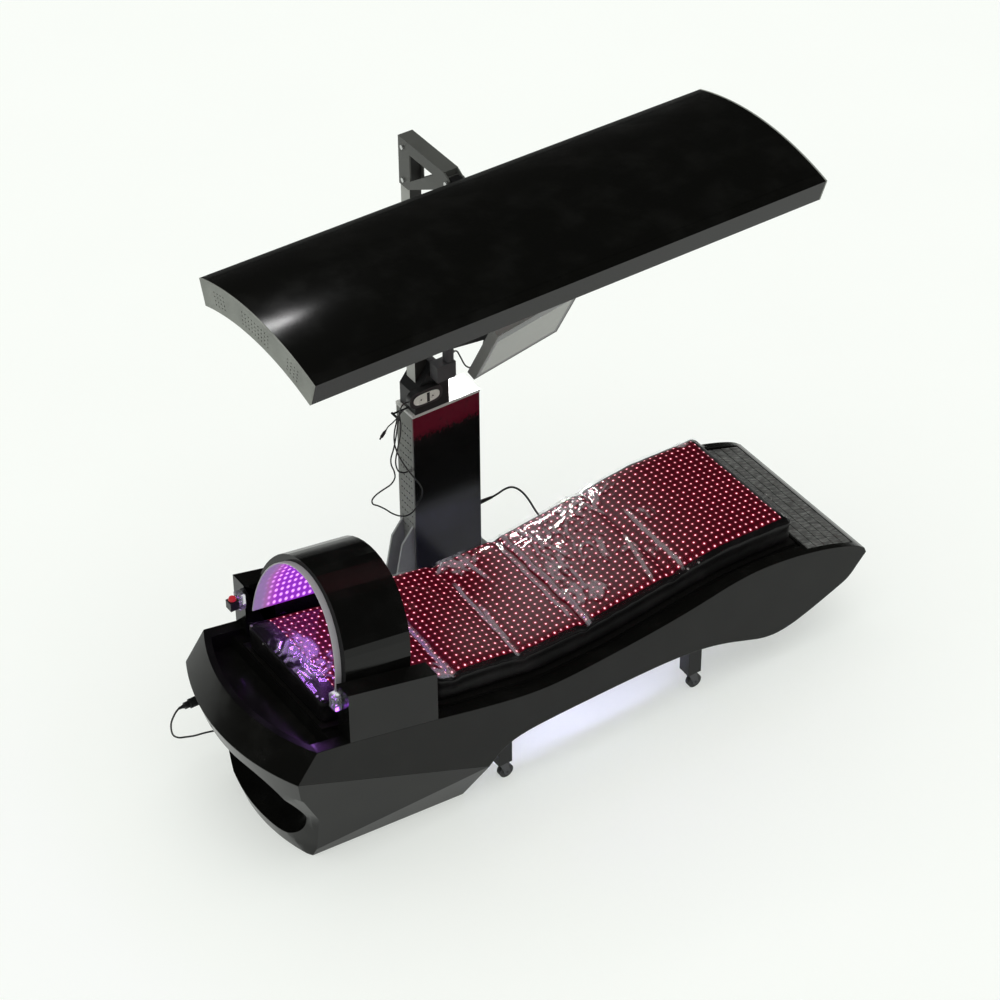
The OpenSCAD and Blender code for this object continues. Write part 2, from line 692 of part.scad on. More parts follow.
mast_x = -38;
mast_y = col_y + 50;
col_x0 = mast_x - 50;
col_x1 = col_x0 + col_w;
col_mid = (col_x0 + col_x1) / 2;
col_back = col_y + col_d;
lid_t = 10;
box_top = col_h - lid_t;
tongue_y = -60;
plate_back = col_back + 42;
gusset_t = 8;
module column_base() {
  color(plate_grey) {
    translate([col_x0 - 110, col_y - 90, 0]) cube([col_w + 220, plate_back - col_y + 90, plate_t]);
    translate([col_mid - 90, tongue_y, 0]) cube([180, col_y - 80 - tongue_y, plate_t]);
    // Gussets beside the housing, tall on the mast's side
    for (y = [col_y + 14, col_back - 14 - gusset_t], s = [-1, 1])
      let (h = s > 0 ? gusset_low_h : gusset_h)
        translate([s > 0 ? col_x1 + seat_gap : col_x0 - seat_gap, y + gusset_t, 0])
          rotate([90, 0, 0]) linear_extrude(gusset_t)
            polygon([[0, plate_t - 1], [0, h], [s * 46, h - 60], [s * 102, plate_t - 1]]);
  }
}

hole_rows = 22;
hole_cols = 5;
module side_holes() {
  for (i = [0 : hole_cols - 1], j = [0 : hole_rows - 1])
    translate([0, col_y + 19 + i * (col_d - 38) / (hole_cols - 1), 120 + j * (box_top - 180) / (hole_rows - 1)])
      rotate([0, 90, 0]) cylinder(h = 3 * sheet_t, r = 3.5, center = true, $fn = 16);
}
module column_housing() {
  color(steel_grey) difference() {
    translate([col_x0, col_y + 6, plate_t + seat_gap]) cube([col_w, col_d - 6, box_top - plate_t - 2 * seat_gap]);
    translate([col_x0 + sheet_t, col_y + 5, plate_t - 1]) cube([col_w - 2 * sheet_t, col_d - 5 - sheet_t, box_top]);
    for (x = [col_x0 + sheet_t / 2, col_x1 - sheet_t / 2]) translate([x, 0, 0]) side_holes();
  }
  // Gland of the handset's cable
  color(black_soft) cable_boss([0, 570, 584], col_x0, [-1, 0, 0], 8, 6);
}
module column_front() {
  color(black_soft) translate([col_x0, col_y, plate_t + seat_gap]) difference() {
    cube([col_w, 6 - seat_gap, box_top - plate_t - 2 * seat_gap]);
    translate([8, 3, 8]) cube([col_w - 16, 4, box_top - plate_t - 16]);
  }
}
module column_lid() {
  color(steel_grey) difference() {
    union() {
      translate([col_mid, col_y + col_d / 2, box_top]) rounded_plate(col_w + 4, col_d + 4, lid_t, 3);
      translate([col_x0 + sheet_t + 1, col_y + 8, box_top - 8]) cube([col_w - 2 * sheet_t - 2, col_d - 14, 9]);
    }
    translate([mast_x - mast_w / 2 - free_gap, mast_y - mast_d / 2 - free_gap, box_top - 10])
      cube([mast_w + 2 * free_gap, mast_d + 2 * free_gap, lid_t + 20]);
  }
}
module column_screws() {
  color(steel_grey) for (x = [guide_x1 + 20, col_x1 - 14], y = [col_y + 14, col_back - 14])
    translate([x, y, col_h + seat_gap / 2]) cylinder(h = 2.4, r1 = 5, r2 = 4);
}

// Lift inside the mast
act_r = 17;
rod_r = 10;
act_floor = plate_t + 20;
rod_foot = act_floor + lift_travel + free_gap;
act_top = rod_foot + 12;
rod_top = mast_top - 940;
module lift_actuator() {
  color(black_soft) difference() {
    translate([mast_x, mast_y, plate_t + seat_gap]) cylinder(h = act_top - plate_t - seat_gap, r = act_r);
    translate([mast_x, mast_y, act_floor]) cylinder(h = act_top, r = rod_r + run_gap);
  }
}
mast_bottom = plate_t + lift_travel + 30;
module lift_rod() {
  color(steel_grey) {
    translate([mast_x, mast_y, rod_foot]) cylinder(h = rod_top - rod_foot, r = rod_r);
    translate([mast_x - mast_w / 2 + mast_wall + seat_gap, mast_y - mast_d / 2 + mast_wall + seat_gap, rod_top - 10])
      cube([mast_w - 2 * mast_wall - 2 * seat_gap, mast_d - 2 * mast_wall - 2 * seat_gap, 18]);
  }
}
module mast() {
  color(steel_grey) translate([mast_x, mast_y, mast_bottom]) difference() {
    translate([-mast_w / 2, -mast_d / 2, 0]) cube([mast_w, mast_d, mast_top - mast_bottom]);
    translate([-mast_w / 2 + mast_wall, -mast_d / 2 + mast_wall, -1])
      cube([mast_w - 2 * mast_wall, mast_d - 2 * mast_wall, mast_top - mast_bottom - 5]);
  }
}
guide_x0 = mast_x - 41;
guide_x1 = mast_x + 88;
guide_front = mast_y - 52;
guide_back = mast_y + 38;
guide_h = 172;
slide_gap = 0.3;
hook_y = 586;
hook_reach = 61;
hook_r = 4;
module mast_guide() {
  color(black_soft) difference() {
    translate([0, guide_back, col_h]) rotate([90, 0, 0]) linear_extrude(guide_back - guide_front)
      polygon([[guide_x0, seat_gap], [guide_x1, seat_gap], [guide_x1, guide_h - 46], [guide_x1 - 34, guide_h],
               [guide_x1 - 60, guide_h], [guide_x0, guide_h - 92]]);
    translate([mast_x - mast_w / 2 - slide_gap, mast_y - mast_d / 2 - slide_gap, col_h - 1])
      cube([mast_w + 2 * slide_gap, mast_d + 2 * slide_gap, guide_h + 2]);
  }
  color(black_soft) {
    // Gland of the short lead
    cable_boss([0, 570, col_h + 26], guide_x0, [-1, 0, 0], 7, 5);
    // Hook that the handset's cable hangs over
    translate([guide_x0 + 1, hook_y, col_h + 10]) rotate([0, -90, 0]) cylinder(h = hook_reach + 2, r = 3.4);
    translate([guide_x0 - hook_reach, hook_y + 6, col_h + 10]) rotate([90, 0, 0])
      cylinder(h = 46, r = hook_r);
  }
}

// GALLOWS ARM

arm_tip_y = mast_y - mast_d / 2 - arm_reach;
side_t = 5;
tilt_y = arm_tip_y - 14;
tilt_z = mast_top - 26;
module gallows_arm() {
  in_x = mast_w / 2 + seat_gap;
  color(steel_grey) difference() {
    union() {
      for (s = [-1, 1]) translate([mast_x + (s > 0 ? in_x : -in_x - side_t), 0, 0])
        rotate([90, 0, 90]) linear_extrude(side_t) difference() {
          polygon([[mast_y + mast_d / 2, mast_top + 3], [arm_tip_y, mast_top + 3], [arm_tip_y - 24, mast_top - 12],
                   [arm_tip_y - 24, mast_top - 40], [arm_tip_y, mast_top - 52],
                   [mast_y - mast_d / 2, mast_top - arm_plate_h], [mast_y + mast_d / 2, mast_top - arm_plate_h]]);
          polygon([[mast_y - mast_d / 2 - 12, mast_top - 34], [arm_tip_y + 62, mast_top - 34],
                   [mast_y - mast_d / 2 - 12, mast_top - arm_plate_h + 36]]);
        }
      translate([mast_x - in_x - side_t, arm_tip_y + 4, mast_top])
        cube([2 * (in_x + side_t), mast_y + mast_d / 2 - arm_tip_y - 4, 6]);
      translate([mast_x - in_x - 1, arm_tip_y + 4, mast_top - 14])
        cube([2 * in_x + 2, mast_y - mast_d / 2 - seat_gap - arm_tip_y - 4, 14.5]);
    }
    translate([mast_x, tilt_y, tilt_z]) rotate([0, 90, 0])
      cylinder(h = 80, r = tilt_pin_r + run_gap, center = true);
    for (z = [mast_top - 24, mast_top - arm_plate_h + 24])
      translate([mast_x, mast_y, z]) rotate([0, 90, 0]) cylinder(h = 80, r = 4, center = true);
  }
}
module arm_bolts() {
  out_x = mast_w / 2 + side_t + 2 * seat_gap;
  color(steel_grey) for (s = [-1, 1], z = [mast_top - 24, mast_top - arm_plate_h + 24])
    translate([mast_x + s * (out_x + 2.5), mast_y, z]) rotate([0, 90, 0]) cylinder(h = 5, r = 7.5, center = true);
}

// CANOPY

can_x0 = mast_x - 10 - can_l / 2;
can_r = (pow(can_w / 2, 2) + pow(can_rise, 2)) / (2 * can_rise);
can_half_angle = asin(can_w / 2 / can_r);
can_edge_z = mast_top + 10;
can_axis_z = can_edge_z + can_rise - can_r;
end_t = 5;
module can_place() { translate([can_x0, 0, can_axis_z]) children(); }
function arc_angle(mm) = mm / can_r * 180 / PI;
can_in = can_r - can_t;

seam_in = 35;
module canopy_shell() {
  color(black_gloss) can_place() translate([end_t, 0, 0]) difference() {
    arc_sector(can_in, can_r, can_half_angle, can_l - 2 * end_t);
    translate([-1, 0, 0]) arc_sector(can_in - 10, can_r - can_wall, can_half_angle - arc_angle(can_wall), can_l);
    // Seams of the top skin along both edges
    for (s = [-1, 1]) rotate([s * (can_half_angle - arc_angle(seam_in)), 0, 0]) translate([-1, 0, 0])
      arc_sector(can_r - 1.2, can_r + 1, arc_angle(1), can_l);
  }
}
module end_plate(x) {
  color(plate_grey) can_place() translate([x, 0, 0]) difference() {
    arc_sector(can_in, can_r, can_half_angle, end_t - seat_gap);
    for (row = [0 : 3], col = [-13 : 13]) if (abs(col) <= 4 || abs(col) > 9)
      rotate([arc_angle(18 * col), 0, 0]) translate([-1, 0, can_in + 22 + row * 13])
        rotate([0, 90, 0]) cylinder(h = end_t + 2, r = 3, $fn = 16);
  }
}
module canopy_end_head() { end_plate(0); }
module canopy_end_foot() { end_plate(can_l - end_t + seat_gap); }

panel_in = can_in + 12;
module canopy_light_panel() {
  color(glow_red) can_place() translate([end_t + 1, 0, 0])
    arc_sector(panel_in, panel_in + 3, can_half_angle - arc_angle(can_wall + 1), can_l - 2 * end_t - 2);
}
module canopy_diffuser() {
  color([0.85, 0.85, 0.9, 0.4]) can_place() translate([end_t + 1, 0, 0])
    arc_sector(can_in + 2, can_in + 5, can_half_angle - arc_angle(can_wall + 1), can_l - 2 * end_t - 2);
}
// Ribs that carry the shell and the light panel, and the plate that the arm holds
module canopy_frame() {
  rib_angle = can_half_angle - arc_angle(can_wall) - 0.02;
  color(steel_grey) can_place() {
    for (x = [end_t + 30, can_l / 2 - 100, can_l / 2 + 80, can_l - end_t - 50]) translate([x, 0, 0])
      difference() {
        arc_sector(panel_in + 3 + seat_gap, can_r - can_wall - seat_gap, rib_angle, 20);
        for (a = [-12 : 6 : 12]) rotate([a, 0, 0]) translate([-1, 0, (panel_in + 3 + can_r - can_wall) / 2])
          rotate([0, 90, 0]) cylinder(h = 30, r = 18);
      }
    for (a = [-9, 9]) rotate([a, 0, 0])
      translate([end_t + 34, -10, can_r - can_wall - 16]) cube([can_l - 2 * end_t - 68, 20, 12]);
  }
}

// Bracket between the canopy's far side and the arm
bracket_half = mast_w / 2 - 3;
module tilt_bracket() {
  edge = can_half_angle;
  color(black_soft) difference() {
    union() {
      translate([mast_x, 0, can_axis_z]) rotate([-edge, 0, 0])
        translate([-45, seat_gap, can_in + 8]) cube([90, 7, can_t - 16]);
      translate([mast_x - bracket_half, 0, 0]) rotate([90, 0, 90]) linear_extrude(2 * bracket_half)
        polygon([[can_w / 2 - 14, tilt_z - 14], [can_w / 2 - 2, tilt_z + 20], [tilt_y + 8, tilt_z + 14],
                 [tilt_y + 12, tilt_z], [tilt_y + 8, tilt_z - 12]]);
    }
    translate([mast_x, 0, can_axis_z]) rotate([-edge, 0, 0]) translate([-60, -60, can_in - 20]) cube([120, 60 + seat_gap, can_t + 60]);
    translate([mast_x, tilt_y, tilt_z]) rotate([0, 90, 0]) cylinder(h = 80, r = tilt_pin_r, center = true);
  }
}
module tilt_pin() {
  color(steel_grey) translate([mast_x, tilt_y, tilt_z]) rotate([0, 90, 0]) {
    cylinder(h = mast_w + 2 * side_t + 8, r = tilt_pin_r, center = true);
    for (s = [-1, 1]) translate([0, 0, s * (mast_w / 2 + side_t + seat_gap + 4)]) cylinder(h = 6, r = 9, center = true);
  }
}

// SCREEN

br_x0 = guide_x1 - 70;
br_y1 = guide_front - seat_gap;
br_z0 = col_h + 130;
br_h = 60;
boss_h = 6;
arm_axis_x = guide_x1 - 16;
arm_axis_y = br_y1 - 24;
hub_z = br_z0 + br_h + boss_h;
hub_r = 18;
swivel_r = 8;
module screen_bracket() {
  color(plate_grey) difference() {
    union() {
      translate([br_x0, arm_axis_y - 20, br_z0]) cube([guide_x1 - br_x0, br_y1 - arm_axis_y + 20, br_h]);
      translate([arm_axis_x, arm_axis_y, br_z0]) cylinder(h = br_h + boss_h, r = hub_r);
    }
    translate([arm_axis_x, arm_axis_y, br_z0 + 15]) cylinder(h = br_h, r = swivel_r + run_gap);
  }
}
mon_off = [242, -93.8, 50];
mon_mid = [arm_axis_x, arm_axis_y, hub_z] + mon_off;
// The screen hinge lies behind the casing's middle, square to its back
tilt_back = 66;
function turned(x, y) = [x * cos(mon_turn) - y * sin(mon_turn), x * sin(mon_turn) + y * cos(mon_turn)];
hinge_at = [mon_mid[0], mon_mid[1]] + turned(0, tilt_back * cos(mon_tilt));
screen_hinge_z = mon_mid[2] + tilt_back * sin(mon_tilt);
screen_pin_r = 6;
barrel_half = 20;
barrel_r = 16;
module mon_place() {
  translate(mon_mid) rotate([0, 0, mon_turn]) rotate([mon_tilt, 0, 0]) children();
}
module screen_hinge_place() {
  translate([hinge_at[0], hinge_at[1], screen_hinge_z]) rotate([0, 0, mon_turn]) children();
}
arm_span = hinge_at - [arm_axis_x, arm_axis_y];
arm_turn = atan2(arm_span[1], arm_span[0]);
arm_z = hub_z + 38;
arm_h = 20;
arm_half = 9;
post_half = 10;
module screen_arm() {
  color(plate_grey) difference() {
    union() {
      translate([arm_axis_x, arm_axis_y, 0]) {
        translate([0, 0, hub_z - boss_h - 40]) cylinder(h = 60, r = swivel_r);
        translate([0, 0, hub_z + seat_gap]) cylinder(h = arm_z + arm_h + 2 - hub_z, r = hub_r);
        // Outlet of the screen's cable
        translate([0, 0, hub_z + 18]) rotate([0, 90, 0]) cylinder(h = hub_r + 4, r = 5);
        rotate([0, 0, arm_turn]) translate([0, -arm_half, arm_z]) cube([norm(arm_span), 2 * arm_half, arm_h]);
      }
      screen_hinge_place() {
        rotate([0, 90, 0]) cylinder(h = 2 * barrel_half, r = barrel_r, center = true);
        translate([-12, -post_half, arm_z - screen_hinge_z])
          cube([24, 2 * post_half, screen_hinge_z - arm_z]);
      }
    }
    screen_hinge_place() rotate([0, 90, 0])
      cylinder(h = 2 * barrel_half + 20, r = screen_pin_r + run_gap, center = true);
  }
}
ear_t = 6;
ear_in = barrel_half + 0.4;
bezel = 6;
module screen_casing() {
  color(plate_grey) {
    difference() {
      mon_place() translate([-mon_w / 2, 0, -mon_h / 2]) cube([mon_w, mon_t, mon_h]);
      mon_place() translate([-mon_w / 2 + bezel, -1, -mon_h / 2 + bezel])
        cube([mon_w - 2 * bezel, 5, mon_h - 2 * bezel]);
    }
    screen_hinge_place() {
      for (s = [-1, 1]) translate([s > 0 ? ear_in : -ear_in - ear_t, 0, 0])
        rotate([90, 0, 90]) linear_extrude(ear_t) {
          circle(13);
          rotate(mon_tilt) translate([-tilt_back + mon_t - 1, -13]) square([tilt_back - mon_t + 1, 26]);
        }
      rotate([0, 90, 0]) cylinder(h = 2 * (ear_in + ear_t) + 4, r = screen_pin_r, center = true);
    }
  }
}
module screen_glass() {
  color([0.75, 0.80, 0.78]) mon_place()
    translate([-mon_w / 2 + bezel + seat_gap, 0.5, -mon_h / 2 + bezel + seat_gap])
      cube([mon_w - 2 * bezel - 2 * seat_gap, 3.5 - seat_gap, mon_h - 2 * bezel - 2 * seat_gap]);
}

// HANDSET

hs_l = 124;
hs_w = 60;
hs_t = 22;
hs_x = mast_x - 12;
hs_z = col_h + 76;
key_r = 8;
key_travel = 1.2;
module hs_place() {
  translate([hs_x, guide_front - seat_gap, hs_z]) rotate([90, 0, 0]) children();
}
module handset() {
  color(black_soft) hs_place() difference() {
    union() {
      rounded_plate(hs_l, hs_w, hs_t, 26);
      translate([0, 0, hs_t - 0.5]) rounded_plate(hs_l - 22, hs_w - 18, 2, 20);
    }
    for (x = [-22, 22]) translate([x, 0, hs_t - 8]) cylinder(h = 12, r = key_r + run_gap);
  }
}
module key(x) {
  color([0.9, 0.9, 0.9]) hs_place() translate([x, 0, hs_t - 8 + key_travel + 0.4])
    cylinder(h = 9.2 + key_travel, r = key_r);
}
module key_up() { key(22); }
module key_down() { key(-22); }

// CABLES

function unit(v) = v / norm(v);
function along_at(p, i) = unit(p[min(i + 1, len(p) - 1)] - p[max(i - 1, 0)]);
// A frame carried along the path without twist
function carry(p, i, u) =
  let (t = along_at(p, i), v = u - (u * t) * t) unit(v);
function frames(p, i, u) =
  i >= len(p) ? [] : let (v = carry(p, i, u)) concat([v], frames(p, i + 1, v));
module cable(p, r, sides) {
  f = frames(p, 0, [0.31, 0.27, 0.91]);
  skin([for (i = [0 : len(p) - 1])
    let (t = along_at(p, i), u = f[i], v = cross(t, u))
    [for (a = [0 : sides - 1]) p[i] + r * (cos(360 * a / sides) * u - sin(360 * a / sides) * v)]]);
}

handset_route = [
  [-112, 536, 892], [-124, 536, 893], [-138, 536, 884], [-148, 535, 856], [-156, 534, 816],
  [-165, 533, 770], [-175, 533, 730], [-184, 535, 698], [-182, 537, 668], [-172, 538, 638],
  [-170, 538, 610], [-186, 538, 590], [-214, 538, 582], [-240, 538, 574], [-258, 538, 560],
  [-256, 538, 541], [-236, 538, 524], [-210, 538, 498], [-186, 538, 470], [-158, 538, 446],
  [-130, 538, 434], [-104, 538, 440], [-86, 538, 464], [-70, 538, 490], [-68, 538, 516],
  [-78, 538, 544], [-96, 538, 576], [-116, 539, 612], [-136, 541, 654], [-154, 543, 700],
  [-163, 545, 746], [-161, 546, 786], [-151, 548, 820], [-146, 552, 831], [-140, 556, 834],
  [-134, 560, 831], [-129, 563, 820], [-124, 566, 786], [-127, 568, 740], [-138, 570, 688],
  [-145, 571, 640], [-136, 571, 601], [-114, 570, 585], [-96, 570, 584]
];
lead_route = [
  [-86, 570, 842], [-98, 570, 842], [-116, 570, 834], [-134, 570, 817], [-152, 571, 804], [-167, 571, 797],
  [-177, 571, 786]
];
bed_route = [
  [232, 575, 322], [252, 572, 329], [272, 562, 345], [293, 550, 352], [313, 532, 341],
  [326, 505, 318], [330, 465, 290], [330, 420, 278], [330, 380, 276], [330, 342, 276]
];
bed_socket = bed_route[len(bed_route) - 1];
head_route = [
  [-1140, 275, 312], [-1154, 275, 300], [-1168, 278, 270], [-1171, 281, 240], [-1162, 290, 199],
  [-1139, 301, 167], [-1110, 311, 146], [-1070, 325, 120], [-1026, 340, 97], [-985, 332, 91],
  [-964, 306, 90], [-960, 284, 90], [-960, 268, 90]
];
screen_route = [
  [56, 524, 1030], [68, 523, 1024], [80, 521, 996], [94, 518, 962], [112, 514, 948], [132, 510, 962],
  [148, 507, 998], [158, 505, 1036], [160, 505, 1050]
];
module handset_cable() { color(black_soft) cable(handset_route, 2.5, 8); }
module lead_cable() { color(black_soft) cable(lead_route, 2, 8); }
module bed_cable() { color(black_soft) cable(bed_route, 3.5, 8); }
module head_cable() { color(black_soft) cable(head_route, 3, 8); }
module screen_cable() { color(black_soft) cable(screen_route, 2.5, 8); }

// Plug of the short lead, connector of the headboard end and strain relief of the bed's cable
module cord_plugs() {
  color(black_soft) {
    translate(lead_route[len(lead_route) - 1]) rotate([0, 222, 0]) {
      cylinder(h = 8, r1 = 3, r2 = 5);
      translate([0, 0, 7.9]) cylinder(h = 20, r = 5);
      translate([0, 0, 27]) cylinder(h = 9, r = 2.8);
    }
    translate(head_route[0]) rotate([0, 90, 0]) {
      cylinder(h = 18, r1 = 4, r2 = 6);
      translate([0, 0, 17]) cylinder(h = 21, r = 11);
      translate([0, 0, 36]) cylinder(h = head_socket[0] - head_route[0][0] - 36 - seat_gap, r = 15);
    }
    translate([col_x1 + seat_gap, bed_route[0][1], bed_route[0][2]]) rotate([0, 90, 0]) {
      cylinder(h = 8, r = 9);
      cylinder(h = bed_route[0][0] - col_x1 - seat_gap, r1 = 7.5, r2 = 4.2);
    }
  }
}

upper_hull();
head_pedestal();
foot_tread();
base_frame();
leg_posts();
fork_head_near();
fork_head_far();
fork_foot_near();
fork_foot_far();
wheel_head_near();
wheel_head_far();
wheel_foot_near();
wheel_foot_far();
driver_box();
underglow_strip();
pad_board();
mattress();
light_mat();
clear_film();
cheek_near();
cheek_far();
dome_shell();
dome_liner();
dome_light_board();
hinge_clamps();
hinge_pins();
stop_pod();
stop_button();
column_base();
column_housing();
column_front();
column_lid();
column_screws();
lift_actuator();
lift_rod();
mast_guide();
mast();
gallows_arm();
arm_bolts();
tilt_pin();
tilt_bracket();
canopy_frame();
canopy_shell();
canopy_end_head();
canopy_end_foot();
canopy_light_panel();
canopy_diffuser();
screen_bracket();
screen_arm();
screen_casing();
screen_glass();
handset();
key_up();
key_down();
handset_cable();
lead_cable();
cord_plugs();
bed_cable();
head_cable();
screen_cable();
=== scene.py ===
"""Looks of the red light therapy recliner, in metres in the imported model's own frame.

X runs from the head to the foot, Y from the user's near side to the column and Z up.
"""

import logging
import math
from dataclasses import dataclass, field
from enum import Enum
from typing import Any, Callable, Sequence

import bpy
import numpy as np
from mathutils import Matrix, Vector, noise
from mathutils.bvhtree import BVHTree


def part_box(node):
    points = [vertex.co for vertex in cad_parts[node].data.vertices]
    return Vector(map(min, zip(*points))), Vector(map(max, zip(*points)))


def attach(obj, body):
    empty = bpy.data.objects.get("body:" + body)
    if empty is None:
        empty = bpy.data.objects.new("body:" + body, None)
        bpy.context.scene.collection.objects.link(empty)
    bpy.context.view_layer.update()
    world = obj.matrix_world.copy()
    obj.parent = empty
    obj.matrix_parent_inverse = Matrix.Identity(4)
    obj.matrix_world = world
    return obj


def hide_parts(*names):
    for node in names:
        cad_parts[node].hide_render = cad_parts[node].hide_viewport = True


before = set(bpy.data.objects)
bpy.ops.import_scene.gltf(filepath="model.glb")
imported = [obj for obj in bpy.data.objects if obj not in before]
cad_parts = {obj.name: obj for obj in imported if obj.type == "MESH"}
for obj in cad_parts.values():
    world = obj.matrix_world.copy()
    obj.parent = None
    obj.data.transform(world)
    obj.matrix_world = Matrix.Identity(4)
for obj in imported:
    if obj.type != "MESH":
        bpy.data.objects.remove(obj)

log = logging.getLogger("recliner")
Point = tuple[float, float, float]
Colour = tuple[float, float, float]
Track = list[Vector]
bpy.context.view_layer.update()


class Body(Enum):
    """The bodies that the new pieces ride on."""

    BED = "frame"
    DOME = "dome"
    ARM = "screen_arm"
    KEY_UP = "key_up"
    KEY_DOWN = "key_down"


class Value:
    """A number, colour or vector in a material, with the arithmetic that the finishes use."""

    def __init__(self, sheet: "NodeSheet", socket: bpy.types.NodeSocket) -> None:
        """Wraps one output socket of a sheet."""
        self.sheet = sheet
        self.socket = socket

    def _maths(self, operation: str, first: "Value | float", second: "Value | float") -> "Value":
        """Adds one Math node.

        Args:
            operation: The node's operation.
            first: Its first number.
            second: Its second number.

        Returns:
            The node's result.
        """
        return self.sheet.node("ShaderNodeMath", {"operation": operation}, {0: first, 1: second})

    def __add__(self, other: "Value | float") -> "Value":
        """Sum."""
        return self._maths("ADD", self, other)

    def __radd__(self, other: float) -> "Value":
        """Sum with a plain number first."""
        return self._maths("ADD", other, self)

    def __sub__(self, other: "Value | float") -> "Value":
        """Difference."""
        return self._maths("SUBTRACT", self, other)

    def __rsub__(self, other: float) -> "Value":
        """Difference from a plain number."""
        return self._maths("SUBTRACT", other, self)

    def __mul__(self, other: "Value | float") -> "Value":
        """Product."""
        return self._maths("MULTIPLY", self, other)

    def __rmul__(self, other: float) -> "Value":
        """Product with a plain number first."""
        return self._maths("MULTIPLY", other, self)

    def __truediv__(self, other: "Value | float") -> "Value":
        """Quotient."""
        return self._maths("DIVIDE", self, other)

    def __pow__(self, other: float) -> "Value":
        """Power."""
        return self._maths("POWER", self, other)

    def __abs__(self) -> "Value":
        """Size without its sign."""
        return self._maths("ABSOLUTE", self, 0.0)

    def fraction(self) -> "Value":
        """What is left above the whole number below."""
        return self._maths("FRACT", self, 0.0)

    def floor(self) -> "Value":
        """The whole number below."""
        return self._maths("FLOOR", self, 0.0)

    def root(self) -> "Value":
        """Square root."""
        return self._maths("SQRT", self, 0.0)

    def modulo(self, other: float) -> "Value":
        """Remainder of a division, never below zero."""
        return self._maths("FLOORED_MODULO", self, other)

    def angle_to(self, other: "Value") -> "Value":
        """Angle whose tangent is this number over the other."""
        return self._maths("ARCTAN2", self, other)

    def rise(self, low: float, high: float) -> "Value":
        """Smooth step from 0 to 1.

        Args:
            low: Where it is 0.
            high: Where it is 1, which may lie below low.

        Returns:
            The step.
        """
        return self.sheet.node(
            "ShaderNodeMapRange", {"interpolation_type": "SMOOTHSTEP"},
            {"Value": self, "From Min": low, "From Max": high, "To Min": 0.0, "To Max": 1.0})


